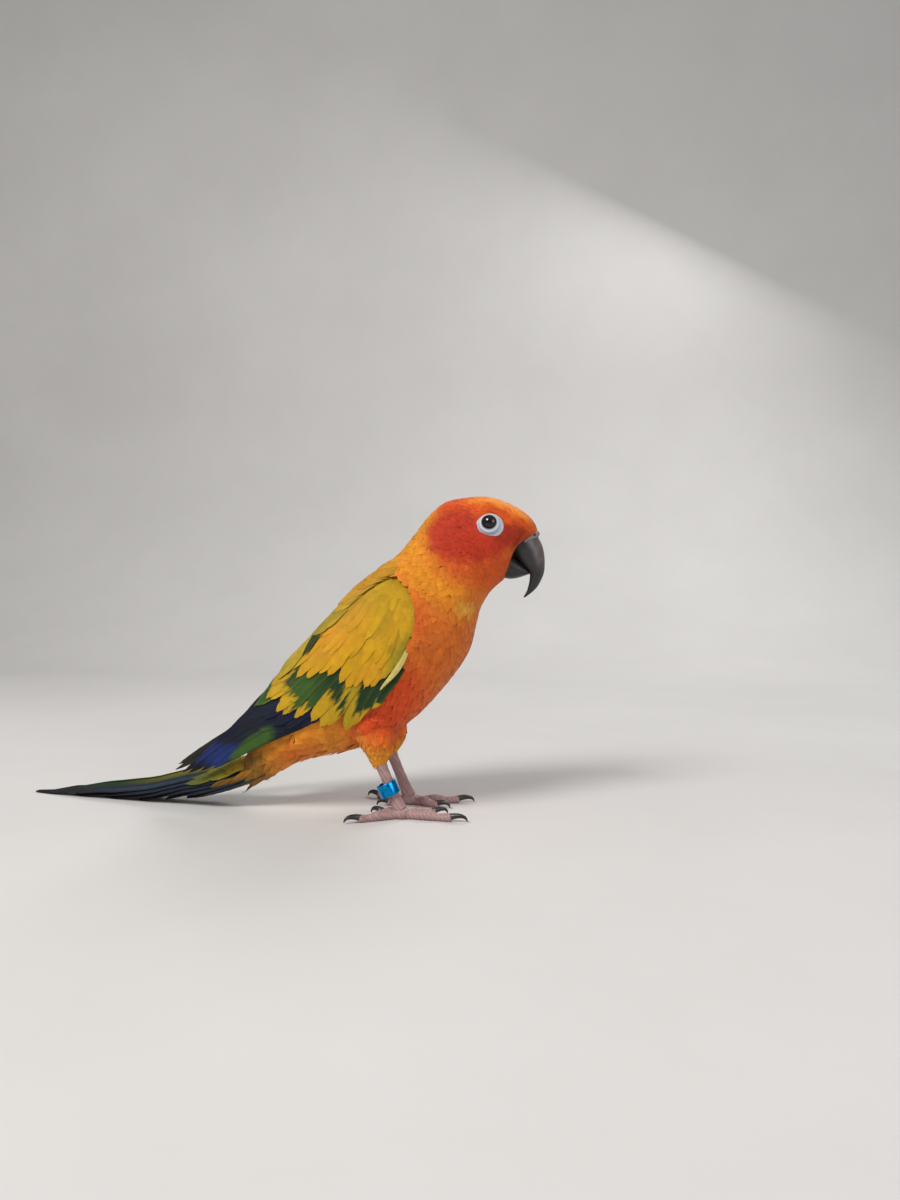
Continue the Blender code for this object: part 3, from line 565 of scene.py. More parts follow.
def shadeFeathers(rootColour, form):
    # one colour for each feather, with painted shade darkening its root where the feather before covers it,
    # paler towards its tip, with a share of chance
    count, rows, columns = len(rootColour), len(form["steps"]), form["columns"]
    steps = np.array(form["steps"])[None, :, None]
    colour = np.broadcast_to(rootColour[:, None, None], (count, rows, columns, 3))
    warm = np.clip(chance.normal(form["tipShare"], 0.1, count), 0, 1)[:, None, None] * fade(steps, 0.45, 1)
    pale = np.minimum(colour * form["tipTint"], 1)
    colour = blend(colour, pale, np.broadcast_to(warm, colour.shape[:3]))
    # painted shade: each feather darker towards its covered root, times a random tone of its own
    tone = (form["paintedRootShade"] + (1 - form["paintedRootShade"]) * fade(steps, 0.0, 0.5)) * chance.normal(
        1, form["tone"], count)[:, None, None]
    return np.clip(colour * tone[..., None], 0, 1)


# the root's brightness share is painted shade under the feathers that cover the roots
coat = {
    "steps": (0, 0.35, 0.66, 0.87, 1.0), "shares": (0.6, 0.95, 1.0, 0.74, 0.14), "columns": 3,
    "rise": (-0.55, -0.15, 0.12, 0.28, 0.36), "camber": 0.15, "round": 0.55, "thickness": 0.12,
    "stray": 0.15, "fray": 0.14, "tone": 0.06, "tipShare": 0.32, "tipTint": np.array([1.12, 1.5, 1.35]),
    "paintedRootShade": 0.78, "spacing": 0.42,
}
headCoat = dict(coat, steps=(0, 0.5, 0.86, 1.0), shares=(0.6, 1.0, 0.8, 0.2), rise=(-0.5, -0.1, 0.2, 0.32),
                stray=0.11, tone=0.065, tipShare=0.2, paintedRootShade=0.82)
# The length of a feather at each of the body's rows, in mm
coatLengths = (9.6, 9.4, 8.6, 7.8, 7.2, 6.6, 6.0, 5.2, 4.4, 3.8, 3.2, 2.8, 2.4, 2.1, 1.9, 1.7, 1.5)
bodyEnd, legEnd = len(bodyRows) - 1, len(legRows) - 1
ringPlace = {"middle": (40.5, 132.3), "size": (6.2, 5.75)}  # the bare ring round each eye, in mm


def ringDistance(points):
    # 1 on the edge of the bare ring round an eye, less within it
    (x, z), (wide, high) = ringPlace["middle"], ringPlace["size"]
    return np.hypot((points[..., 0] - x) / wide, (points[..., 2] - z) / high)


# How high, how wide and how far over the wing's front edge the body's feathers bank up, in mm
bank = {"height": 2.6, "width": 11.0, "over": 1.3}


def bankHeight(points):
    # mm that a smooth S of the distance to the wing's front edge adds to the body in front of it
    outside = edgeDistance(wingFront, points[..., 0], points[..., 2])
    ends = fade(points[..., 2], 66, 80) * fade(np.abs(points[..., 1]), 3, 11)
    return outside, bank["height"] * fade(-outside, -bank["width"], 0.5) * ends


def bankedSurface(at, around, lift, share):
    # the flank with the bank added for the feathers whose share is 1
    more = bankHeight(flankSurface(at, around, lift))[1]
    return flankSurface(at, around, lift + more * share.reshape(-1, *[1] * (np.ndim(more) - 1)))


def makeSkin():
    # rings of the body's own surface, sunk by the coat's depth, raised under the bank
    at = np.linspace(0, bodyEnd, skin["rings"])[:, None]
    at, around = np.broadcast_arrays(at, ringTurns(skin["around"])[None])
    depth = np.interp(at, skin["headStarts"], skin["depth"])
    outside, more = bankHeight(bodySurface(at, around, 0))
    more = np.maximum(more - 0.3, 0) * fade(outside, 0, 2)
    rings = bodySurface(at, around, headRelief(at, around) - depth + more)
    return tubeMesh("skin", rings, coatMaterial, bodyColour(rings))


def coatRoots(start, end, spacing):
    # staggered rows round the body, each row one visible feather length behind the next
    rootAt, rootAround = [], []
    at, odd = start, 0
    while at > end:
        length = np.interp(at, range(bodyEnd + 1), coatLengths)
        rows = along(bodyRows, at)
        girth = np.pi * (np.hypot(*(rows[0:2] - rows[2:4])) / 2 + rows[4])
        number = int(girth / (spacing * length))
        turn = np.arange(number) + 0.5 * odd + chance.normal(0, 0.22, number)
        rootAround.append(turn / number * 2 * np.pi)
        ahead, behind = bodySurface(at + 0.05, np.pi / 2, 0), bodySurface(at - 0.05, np.pi / 2, 0)
        size = np.linalg.norm(ahead - behind) / 0.1
        rootAt.append(at + chance.normal(0, 0.07 * length / size, number))
        at -= 0.3 * length / size
        odd = 1 - odd
    return np.concatenate(rootAt), np.concatenate(rootAround)


def makeCoat(name, start, end, form):
    # feathers from station to station, left out in the bare rings and shortest in front of the eyes
    at, around = coatRoots(start, end, form["spacing"])
    roots = bodySurface(at, around, 0.0)
    keep = ringDistance(roots) > 1.03
    at, around, roots = at[keep], around[keep], roots[keep]
    length = np.interp(at, range(bodyEnd + 1), coatLengths)
    length = length * np.clip(chance.normal(1, 0.13, len(at)), 0.7, 1.3)
    nearRing = ringDistance(roots) - 1
    length = length * np.where(roots[:, 0] > 38, np.clip(0.5 + 1.5 * nearRing, 0.5, 1), 1)
    turn = np.abs(wrapped(around))
    under = fade(turn, 2.2, 2.9) * fade(-roots[:, 0], -4, 12)
    length = length * (1 + 0.15 * under)
    way = bodySurface(at - 0.05, around, 0.0) - roots
    tips = roots + way / np.linalg.norm(way, axis=-1, keepdims=True) * length[:, None]
    rootOut = edgeDistance(wingFront, roots[:, 0], roots[:, 2])
    tipOut = edgeDistance(wingFront, tips[:, 0], tips[:, 2])
    over = bank["over"] * (0.2 + 1.1 * chance.random(len(at)))
    crossing = (rootOut > 0) & (tipOut < -over) & (roots[:, 2] > 66)
    width = length * (0.32 + 0.05 * fade(at, 8, 10))
    kept = (rootOut + over) / np.maximum(rootOut - tipOut, 0.1)
    length = np.where(crossing, length * np.clip(kept, 0.3, 1), length)
    low = 0.15 + 0.25 * fade(-nearRing, -0.4, 0)
    form = dict(form, lift=headRelief(at, around) - low, stray=form["stray"] + 0.14 * under,
                tipLift=1.1 * under * chance.random(len(at)))
    banked = (rootOut > 0).astype(float)

    def surface(station, angle, up):
        # the body with its bank, for this coat's own feathers
        return bankedSurface(station, angle, up, banked)

    top, bottom = layFeathers(surface, at, around, length, width, -1, form)
    colour = shadeFeathers(bodyColour(roots), form)
    unwrap = np.stack([np.mod(around, 2 * np.pi) / (2 * np.pi), at / bodyEnd], -1)
    piece = vaneMesh(name, top, bottom, colour, colour * 0.8, (unwrap, 0.003), coatMaterial)
    print(name, len(at), "feathers")


skinPiece = makeSkin()
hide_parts("head", "neck", "torso")
makeCoat("coatFace", 15.9, 12.4, headCoat)
makeCoat("coatHead", 12.5, 9.4, headCoat)
makeCoat("coatNeck", 9.6, 6.2, coat)
makeCoat("coatBody", 6.4, -0.2, coat)

legCoat = {"around": 34, "rows": 22, "lengths": (7.5, 3.2), "lift": (-3.2, 0.0)}


def makeLegCoat(name, side):
    # staggered rings of small feathers down the leg, sunk into the flank where the leg begins, over a skin
    number, rounds = legCoat["around"], legCoat["rows"]
    at = np.repeat(np.linspace(0.1, 4.8, rounds), number) + chance.normal(0, 0.05, number * rounds)
    around = np.tile(np.arange(number), rounds) + 0.5 * (np.repeat(np.arange(rounds), number) % 2)
    around = (around + chance.normal(0, 0.16, len(around))) / number * 2 * np.pi
    plain = np.interp(at, [0, legEnd], legCoat["lengths"])
    length = plain * np.clip(chance.normal(1, 0.2, len(at)), 0.6, 1.6)
    width = plain * 0.26 * np.interp(at, [0, 3, legEnd], [1, 0.8, 0.55])
    form = dict(coat, lift=np.interp(at, [0, 1.5], legCoat["lift"]), stray=0.2,
                tone=0.09, tipLift=0.5 * chance.random(len(at)))

    def surface(station, angle, up):
        # the leg on this side
        return legSurface(station, angle, up, side)

    top, bottom = layFeathers(surface, at, around, length, width, 1, form)
    flank = bodyColour(legSurface(at, around, 0, side))
    lower = blend(plumage["belly"], plumage["edge"], 0.3 * chance.random(len(at)))
    root = blend(flank, lower, fade(at, 1.2, 2.8))
    colour = shadeFeathers(root, form)
    unwrap = np.stack([np.mod(around, 2 * np.pi) / (2 * np.pi), at / legEnd], -1)
    piece = vaneMesh(name, top, bottom, colour, colour * 0.8, (unwrap, 0.003), coatMaterial)
    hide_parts("thigh_right" if side < 0 else "thigh_left")
    ringAt, ringAround = np.broadcast_arrays(np.linspace(0, legEnd, 24)[:, None], ringTurns(32)[None])
    sunk = np.interp(ringAt, [0, 1.5], legCoat["lift"]) - 0.8
    inner = legSurface(ringAt, ringAround, sunk, side)
    under = tubeMesh(name + "Skin", inner, coatMaterial, bodyColour(inner))


makeLegCoat("coatLegRight", -1)
makeLegCoat("coatLegLeft", 1)
print("coat laid")


# Wings: tiers of vanes on the bed, from the innermost out

wing = {"thickness": 0.3, "shingle": 0.4, "axis": (0.798, 0.602), "length": 138.0, "thins": 2.3}
green, darkGreen, blueBlack = linear((62, 98, 34)), linear((24, 56, 24)), linear((13, 17, 42))
blue, black, gold = linear((28, 50, 112)), linear((12, 12, 15)), linear((206, 154, 14))
olive, paleYellow, oliveGold = linear((136, 130, 26)), linear((224, 208, 120)), linear((186, 154, 24))
orangeGold, under, shadow = linear((220, 146, 26)), linear((44, 40, 32)), linear((30, 26, 14))


def goldPaint(x, z, steps, shift):
    # yellow with warmer blotches in the middle and an olive shade low on the wrist
    colour = blend(gold, oliveGold, spotMask(x, z, (-6, 100), (9, 7), 0, 0.8) * 0.4)
    colour = blend(colour, orangeGold, spotMask(x, z, (-27, 84), (16, 9), 48, 0.7) * 0.7)
    colour = blend(colour, orangeGold, spotMask(x, z, (-12, 66), (9, 4), 30, 0.7) * 0.5)
    colour = blend(colour, olive, spotMask(x, z, (2, 73), (4, 12), -28, 0.7) * 0.8)
    return blend(colour, oliveGold, np.clip(shift * 7, 0, 0.45) + 0 * x)


def bandPaint(x, z, steps, shift):
    # dark green with a ragged yellow tip, and one feather near the front that is olive yellow all along
    colour = blend(darkGreen, green, spotMask(x, z, (-44, 56), (12, 6), 40, 0.6) * 0.7)
    aside = 0.8 * x - 0.6 * z
    streaks = 0.035 * np.sin(2.7 * aside) + 0.025 * np.sin(6.1 * aside + 1)
    tip = fade(steps + 1.1 * shift + streaks, 0.75, 0.81)
    colour = blend(colour, blend(oliveGold, gold, 0.5), tip + 0 * x)
    return blend(colour, oliveGold, spotMask(x + 30 * shift, z, (-21, 52), (13, 2.6), 70, 0.15))


def scapularPaint(x, z, steps, shift):
    # yellow olive, more orange at the root and greener towards the rump
    colour = blend(oliveGold, orangeGold, fade(z, 88, 104) * 0.8)
    return blend(colour, olive, np.clip(fade(-z, -80, -60) * 0.6 + shift * 6, 0, 0.7))


def armPaint(x, z, steps, shift):
    # dark green inner feathers with olive edges
    return blend(darkGreen, green, fade(steps + shift, 0.55, 0.95) * 0.7 + 0 * x)


def handPaint(x, z, steps, shift):
    # blue black with a green panel, a blue one behind it, and black tips
    x = x + 70 * shift
    colour = blend(blueBlack, green, spotMask(x, z, (-69, 33), (14, 5.2), 31, 0.2))
    colour = blend(colour, blue, spotMask(x, z, (-87, 25.5), (9.5, 5), 36, 0.4))
    return blend(colour, black, fade(-x, 92, 100))


def evenPaint(colour):
    # a paint for a tier of one colour
    def paint(x, z, steps, shift):
        # the same colour at every place
        return np.broadcast_to(colour, (*x.shape, 3))

    return paint


def wingTiers(tipX, tipZ):
    # roots and tips are lines of points in mm that a tier's feathers are spread along, front one first
    tips = [(tipX + 17, tipZ + 3), (tipX + 7, tipZ), (tipX, tipZ), (tipX + 8, tipZ + 6)]
    tips += [(tipX + 20, tipZ + 14), (-76, 41)]
    flight = {"back": under, "blunt": 0.8, "jitter": 0.6, "rows": 12, "columns": 7}
    narrow = {"back": black, "blunt": 0.5, "jitter": 0.1, "rows": 9, "columns": 5}
    yellow = {"paint": goldPaint, "edge": (oliveGold, 0.3), "back": olive, "rows": 14, "columns": 7}
    mantle = {"paint": scapularPaint, "edge": (olive, 0.5), "back": olive, "rows": 14, "columns": 7,
              "blunt": 0.92, "jitter": 0.9}
    return [
        dict(flight, name="primaries", count=10, roots=[(-24, 52), (-36, 58), (-46, 64)], tips=tips,
             width=(3.4, 4.8), lift=(-0.2, 0.5, 0.8), paint=handPaint, edge=(black, 0.85),
             blunt=0.5, jitter=0.5, rows=32, columns=9),
        dict(flight, name="secondaries", count=8, roots=[(-20, 58), (-34, 76)],
             tips=[(-60, 38), (-72, 41.5), (-70, 46.5), (-63, 53.5)],
             width=(4.6, 5.2), lift=(-0.2, 0.8, 1.2), paint=handPaint, edge=(darkGreen, 0.7)),
        dict(flight, name="tertials", count=4, roots=[(-30, 76), (-26, 86)],
             tips=[(-68, 49.5), (-63, 56), (-57, 62), (-51, 67)],
             width=(4.8, 4.2), lift=(0.2, 1.3, 1.8), paint=armPaint, edge=(olive, 0.85)),
        dict(flight, name="handCoverts", count=6, roots=[(-14, 66), (-22, 70)],
             tips=[(-34, 46), (-44, 42), (-54, 39.5), (-62, 44)],
             width=(3.8, 4.6), lift=(0.2, 1.3, 1.8), paint=handPaint, edge=(blue, 0.3), back=black,
             rows=9, columns=5),
        dict(flight, name="greaterCoverts", count=14, roots=[(4, 72), (-8, 78), (-24, 90)],
             tips=[(-14, 51), (-24, 42), (-33, 44.5), (-44, 45), (-55, 49.5), (-62, 54), (-57, 64)],
             width=(3.2, 3.8), lift=(0.6, 1.9, 2.4), paint=bandPaint, edge=(olive, 0.25), back=black,
             blunt=0.97, jitter=1.1, rows=32, columns=9),
        dict(flight, name="wristStrip", count=3, roots=[(9.5, 86), (7.5, 88)],
             tips=[(-6, 60.5), (-13, 54.5), (-17, 50)],
             width=(2.0, 2.4), lift=(0.6, 1.8, 2.2), paint=evenPaint(darkGreen), edge=(olive, 0.2),
             back=black, blunt=0.7, jitter=0.2, columns=5),
        dict(narrow, name="paleStrip", count=1, roots=[(8.2, 85.5)], tips=[(-7, 60.5)],
             width=(1.7, 1.7), lift=(0.8, 3.4, 3.0), paint=evenPaint(paleYellow), edge=(gold, 0.4),
             back=paleYellow, blunt=0.4, bow=0.07, root=0.0, rows=18, columns=7),
        dict(yellow, name="medianCoverts", count=16, roots=[(9, 88), (-4, 94), (-18, 101)],
             tips=[(0, 70), (-8, 62), (-18, 60), (-30, 62), (-42, 63.5), (-53, 65), (-50, 73)],
             width=(3.0, 3.4), lift=(0.9, 2.1, 2.7), blunt=0.97, jitter=1.7, rows=20),
        dict(yellow, name="lesserCovertsLow", count=20, roots=[(10, 92), (-2, 99), (-15, 105)],
             tips=[(5, 77), (-6, 72), (-20, 72), (-34, 75), (-42, 84)],
             width=(2.5, 2.9), lift=(1.2, 2.3, 2.75), blunt=0.95, jitter=1.3),
        dict(yellow, name="lesserCovertsMid", count=20, roots=[(9, 98), (1, 104), (-11, 108.5)],
             tips=[(8, 84), (-3, 80), (-17, 81), (-30, 86), (-35, 93)],
             width=(2.3, 2.7), lift=(1.3, 2.3, 2.7), blunt=0.95, jitter=1.1),
        dict(yellow, name="lesserCovertsHigh", count=20, roots=[(9, 101), (3, 106), (-8, 109.5)],
             tips=[(9, 90), (0, 88), (-13, 90), (-23, 95), (-26, 100)],
             width=(2.0, 2.4), lift=(1.2, 2.1, 2.5), blunt=0.95, jitter=0.9),
        dict(yellow, name="shoulderCoverts", count=18, roots=[(8, 104), (4, 108), (-4, 110)],
             tips=[(8.5, 96), (1, 95), (-9, 98), (-17, 103)],
             width=(1.8, 2.1), lift=(0.9, 1.8, 2.2), blunt=0.95, jitter=0.8),
        dict(narrow, name="notch", count=2, roots=[(-34.5, 85), (-35.5, 86)],
             tips=[(-42, 72.5), (-44, 72)],
             width=(1.2, 1.2), lift=(2.2, 3.5, 3.7), paint=evenPaint(darkGreen), edge=(olive, 0.3)),
        # a near-black strip of painted shadow along the step between the shoulder's feathers and the wing
        dict(narrow, name="gapLine", count=4, roots=[(1, 110.5), (-8, 108), (-16, 104), (-23, 98.5)],
             tips=[(-11, 106.5), (-20, 101), (-27, 94.5), (-32, 88)],
             width=(0.8, 0.7), lift=(1.9, 2.5, 2.6), paint=evenPaint(shadow), edge=(black, 0.3)),
        dict(mantle, name="scapulars", count=9, roots=[(-16, 103), (-34, 87)],
             tips=[(-38, 83), (-58, 61)], width=(2.6, 3.3), lift=(0.4, 2.8, 3.1)),
        dict(mantle, name="scapularsHigh", count=9, roots=[(-16, 106), (-31, 92)],
             tips=[(-34, 89), (-50, 72)], width=(2.4, 3.0), lift=(-0.6, 2.0, 2.6), ridge=0.75),
        dict(mantle, name="mantle", count=10, roots=[(-5, 109), (-24, 96)],
             tips=[(-21, 99), (-42, 79)], width=(2.3, 2.7), lift=(0.4, 3.0, 3.5)),
        dict(mantle, name="mantleHigh", count=10, roots=[(-5, 112), (-23, 99.5)],
             tips=[(-19, 104), (-36, 87)], width=(2.1, 2.5), lift=(-0.6, 2.2, 2.9), ridge=0.75),
        dict(mantle, name="mantleFront", count=9, roots=[(4, 111.5), (-11, 106)],
             tips=[(-9, 108), (-28, 94.5)], width=(2.0, 2.3), lift=(0.4, 3.0, 3.6)),
        dict(mantle, name="mantleTop", count=9, roots=[(3, 115), (-11, 109)],
             tips=[(-8, 111.5), (-24, 100)], width=(1.9, 2.2), lift=(-0.6, 2.2, 2.9), ridge=0.75),
    ]


def spread(line, count):
    # places at equal distances along a line of points
    line = np.array(line, float)
    gone = np.concatenate([[0], np.cumsum(np.linalg.norm(np.diff(line, axis=0), axis=1))])
    want = np.linspace(0, gone[-1], count)
    return np.stack([np.interp(want, gone, line[:, k]) for k in range(2)], 1)


def shadesAt(shades, steps):
    # colours read between stops, each a place along the feather and its colour
    stops = [stop for stop, _ in shades]
    return np.stack([np.interp(steps, stops, [colour[k] for _, colour in shades]) for k in range(3)], -1)


def tierVanes(tier, side):
    # a vane from each root to its tip, as wide as the square root of what is left to the tip, its front
    # edge raised over the vane before it by shingle times across
    count, rows, columns = tier["count"], tier["rows"], tier["columns"]
    root, tip = spread(tier["roots"], count), spread(tier["tips"], count)
    root = root + chance.normal(0, 0.3, root.shape)
    tip = tip + chance.normal(0, tier["jitter"], tip.shape)
    steps = (1 - (1 - np.linspace(0, 1, rows)) ** 1.4)[None, :, None]
    across = np.linspace(-1, 1, columns)[None, None, :]
    run = tip - root
    size = np.linalg.norm(run, axis=1)[:, None, None]
    way, aside = run / size[:, 0], np.stack([-run[:, 1], run[:, 0]], 1) / size[:, 0]
    half = (np.linspace(*tier["width"], count) * chance.normal(1, 0.06, count))[:, None, None]
    close = np.clip((1 - steps) / (1 - 0.82 * tier["blunt"]), 0, 1) ** 0.5
    share = np.maximum(np.clip(tier.get("root", 0.45) + 1.6 * steps, 0, 1) * close, 0.03)
    off = across * share * half + tier.get("bow", -0.035) * size * np.sin(steps * np.pi)
    ragged = chance.normal(0, 0.4, (count, rows, columns)) * fade(steps, 0.65, 1)
    ahead = steps * size - 0.18 * across**2 * half * steps + ragged
    x = root[:, 0, None, None] + way[:, 0, None, None] * ahead + aside[:, 0, None, None] * off
    z = root[:, 1, None, None] + way[:, 1, None, None] * ahead + aside[:, 1, None, None] * off
    lift = np.interp(steps, [0, 0.4, 1], tier["lift"])
    lift = lift + wing["shingle"] * (across + 0.2) * np.minimum(share * 1.2, 1) * half / 4.5
    lift = lift + 0.2 * (1 - across**2) * share + chance.normal(0, 0.06, count)[:, None, None] * steps
    below = -edgeDistance(bedRows[:, :2], x, z)
    lift = lift * (1 - tier.get("ridge", 0) * (1 - fade(below, 0.2, 4.5)))
    limit = 0.972 + 0.024 * chance.random(count)[:, None, None] - 0.01 * fade(steps, 0.6, 1)
    toTip = np.clip(((3 - x) * wing["axis"][0] + (100 - z) * wing["axis"][1]) / wing["length"], 0, 1)
    lift = lift - wing["thins"] * toTip * np.clip(lift, 0, 1)
    top = bedSurface(x, z, lift, side, limit)
    bottom = bedSurface(x, z, lift - wing["thickness"] * (1 - 0.6 * steps), side, limit)
    shift = chance.normal(0, 0.045, count)[:, None, None]
    colour = tier["paint"](x, z, steps, shift)
    edgeColour, amount = tier["edge"]
    colour = blend(colour, edgeColour, fade(np.abs(across), 0.6, 1) * amount * (1 - 0.4 * steps) + 0 * x)
    # a random tone for each vane, times painted shade that darkens its root where the vane before covers it
    tone = chance.normal(1, 0.07, count)[:, None, None] * (0.84 + 0.2 * fade(steps, 0.2, 0.95))
    colour = colour * tone[..., None]
    return top, bottom, np.clip(colour, 0, 1), np.broadcast_to(tier["back"], colour.shape).copy()


def makeWing(name, side, tipX, tipZ):
    # one piece for each tier, with a cell of its unwrap for each vane
    number = 0
    for tier in wingTiers(tipX, tipZ):
        top, bottom, colour, back = tierVanes(tier, side)
        count = len(top)
        cells = math.ceil(math.sqrt(count))
        index = np.arange(count)
        unwrap = np.stack([(index % cells + 0.5) / cells, (index // cells + 0.5) / cells], -1)
        piece = vaneMesh(name + tier["name"][0].upper() + tier["name"][1:], top, bottom, colour, back,
                         (unwrap, 0.9 / cells), wingMaterial)
        number += count
        if tier["name"] == "primaries":
            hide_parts("wing_right" if side < 0 else "wing_left")
    print(name, number, "vanes")


makeWing("wingRight", -1, -107.0, 17.0)
makeWing("wingLeft", 1, -118.0, 15.0)


# Tail

tail = {
    "root": (-68.5, 14.5), "bend": 70.0, "yaw": math.radians(9), "lengths": (130.0, 106, 87, 68, 53, 41),
    "width": 9.0, "stack": 1.75, "thickness": 0.3,
}


def tailSurface(far, off, up):
    # a path that eases down to the floor as a square law, then runs along it, turned a little to the left
    left = 1 - np.clip(far, None, tail["bend"]) / tail["bend"]
    slope = 2 * tail["root"][1] / tail["bend"]
    run = far - slope**2 / 6 * tail["bend"] * (1 - left**3)
    base = tail["root"][1] * left**2
    x = tail["root"][0] - run * math.cos(tail["yaw"]) + math.sin(tail["yaw"]) * off
    y = run * math.sin(tail["yaw"]) + math.cos(tail["yaw"]) * off
    return np.stack([x, y, base + up], -1)


oliveTop, tailUnder, tailLine = linear((112, 106, 34)), linear((44, 34, 24)), linear((60, 104, 120))
innerWeb = [(0, oliveTop), (0.3, oliveTop), (0.55, darkGreen), (0.8, black), (1, black)]
outerWeb = [(0, darkGreen), (0.3, blueBlack), (1, black)]


def tailVane(pair, side, rows=26, columns=7):
    # as wide as a power of what is left to its tip, tilted like a tile over the vanes stacked below it
    lengths = np.array(tail["lengths"])
    length = lengths[pair]
    steps, across = np.linspace(0, 1, rows), np.linspace(0, 1, columns)[None]
    far = -3 + (length + 3) * (1 - (1 - steps) ** 1.2)
    left = (length - far) / (length + 3)
    width = tail["width"] * np.clip(0.06 + 1.9 * left**0.72, 0, 1) * np.clip(0.35 + far / 26, 0.3, 1)
    tilt = np.interp(far, [0, 120], np.radians([40, 25]))[:, None]
    below = np.clip((lengths[pair + 1:, None] + 14 - far) / 14, 0, 1).sum(0)
    inner = -0.9 if (pair == 0 and side > 0) else 0.15 + 0.5 * pair
    middle = inner + (tail["width"] * 0.4 - 0.2) * np.clip(0.35 + 2.2 * left, 0, 1)
    off = side * (middle[:, None] + width[:, None] * (across - 0.5) * np.cos(tilt))
    up = tail["stack"] * below[:, None] + width[:, None] * (1 - across) * np.sin(tilt) + 0.55
    up = up + 0.35 * np.sin(across * np.pi)
    far = far[:, None] + 0 * off
    top, bottom = tailSurface(far, off, up), tailSurface(far, off, up - tail["thickness"])
    bottom[..., 2] = np.maximum(bottom[..., 2], 0.05)
    top[..., 2] = np.maximum(top[..., 2], 0.2)
    base, outer = shadesAt(innerWeb, steps)[:, None], shadesAt(outerWeb, steps)[:, None]
    web = fade(across, 0.42, 0.6) if pair == 0 else np.ones_like(across)
    colour = blend(base, outer, web + 0 * off)
    strength = (0.8 if pair < 2 else 0.4) * fade(0.75 - steps, 0, 0.3)[:, None]
    colour = blend(colour, tailLine, strength * np.exp(-(((across - 0.9) / 0.06) ** 2)) + 0 * off)
    back = np.broadcast_to(tailUnder, colour.shape) * (1 - 0.4 * steps[:, None, None])
    return top, bottom, colour, back


def makeTail():
    # a pair of vanes for each length, the middle and longest pair on top
    for pair in range(len(tail["lengths"])):
        for side in (-1, 1):
            top, bottom, colour, back = tailVane(pair, side)
            name = f"tailFeather{'Right' if side < 0 else 'Left'}{pair + 1}"
            piece = vaneMesh(name, top[None], bottom[None], colour[None].copy(), back[None].copy(),
                             (np.array([[0.5, 0.5]]), (0.2, 0.95)), wingMaterial)
            if pair == 0 and side < 0:
                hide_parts("tail")


coverts = {
    "steps": (0, 0.3, 0.6, 0.85, 1.0), "shares": (0.6, 0.95, 1.0, 0.7, 0.12), "spread": 1.25, "width": 0.28,
    "stray": 1.1, "sink": 1.9, "thickness": 0.2,
}


def tailCoverts(name, upward, reach, hidden, shades, count=9):
    # rows of short feathers over or under the tail's root, each row's start and length in mm: an ellipse
    # round its middle, half width + lift by half depth + lift, and sunk nearer the root than hidden says
    index = np.arange(count * len(reach))
    place = (index % count + 0.5 * (index // count % 2)) / (count - 0.5) - 0.5
    place = place * 2.1 + chance.normal(0, 0.05, len(index))
    start, length = np.array(reach)[index // count].T
    length = length * (1 - 0.25 * np.abs(place)) * chance.normal(1, 0.06, len(index))
    steps, share = np.array(coverts["steps"])[None, :, None], np.array(coverts["shares"])[None, :, None]
    across = np.linspace(-1, 1, 5)[None, None]
    far = start[:, None, None] + length[:, None, None] * steps * (1 - 0.06 * across**2)
    angle = place[:, None, None] * coverts["spread"] + across * share * coverts["width"]
    far = far + chance.normal(0, coverts["stray"], len(index))[:, None, None]
    half = np.interp(far, [0, 30, 50], [9.4, 8.6, 7.0])
    depth = np.interp(far, [0, 20, 50], [7.4, 6.4, 5.0])
    lift = np.interp(steps, [0, 0.6, 1], [-0.9, 0.3, 0.6]) + 0.15 * (1 - across**2)
    lift = lift - coverts["sink"] * fade(-far, -hidden - 4, -hidden + 4)

    def shell(more):
        # the ellipse widened by more on each side, kept off the floor
        up = depth + upward * (depth + more) * np.cos(angle)
        points = tailSurface(far, (half + more) * np.sin(angle), up)
        points[..., 2] = np.maximum(points[..., 2], 0.3)
        return points

    tone = chance.normal(1, 0.08, len(index))[:, None, None, None]
    colour = shadesAt(shades, np.clip((far + 0 * angle) / 34, 0, 1)) * tone
    unwrap = np.stack([(place + 1.1) / 2.2, start / 40 + 0.3], -1)
    piece = vaneMesh(name, shell(lift), shell(lift - coverts["thickness"]), np.clip(colour, 0, 1),
                     np.clip(colour * 0.6, 0, 1), (unwrap, 0.003), coatMaterial)


upperShades = [(0, linear((202, 148, 36))), (0.2, linear((186, 144, 38))),
               (0.55, linear((130, 124, 36))), (1, linear((84, 92, 34)))]
underShades = [(0, linear((176, 116, 36))), (0.5, linear((120, 88, 32))), (1, linear((70, 56, 30)))]
upperRows = [(-9, 16), (-4, 17), (1, 18), (6, 19), (12, 21), (19, 22)]
underRows = [(-8, 14), (-3, 15), (3, 16), (9, 16), (14, 15)]
makeTail()
tailCoverts("tailCovertsUpper", 1, upperRows, 10, upperShades)
tailCoverts("tailCovertsUnder", -1, underRows, 1, underShades)
print("tail laid")


# Eyes and the bare rings round them

eyeLook = {"radius": 4.2, "forward": 0.35, "pupil": 0.48, "noise": 2600.0, "mix": 0.6}


def eyeMaterial():
    # the eye's own colours broken up by fine noise, under a wet coat
    made, tree = newMaterial("wetEye")
    plume = node(tree, "ShaderNodeAttribute", attribute_name="plumage")
    place = node(tree, "ShaderNodeTexCoord")
    noise = node(tree, "ShaderNodeTexNoise", {
        "Vector": place.outputs["Object"], "Scale": eyeLook["noise"], "Detail": 3.0})
    mix = node(tree, "ShaderNodeMix", {
        "Factor": eyeLook["mix"], "A": plume.outputs["Color"], "B": noise.outputs["Color"],
    }, data_type="RGBA", blend_type="MULTIPLY")
    fill(tree, tree.nodes["Principled BSDF"], {
        "Roughness": 0.1, "Specular IOR Level": 0.15, "Coat Weight": 0.7, "Coat Roughness": 0.02,
        "Base Color": mix.outputs["Result"]})
    return made


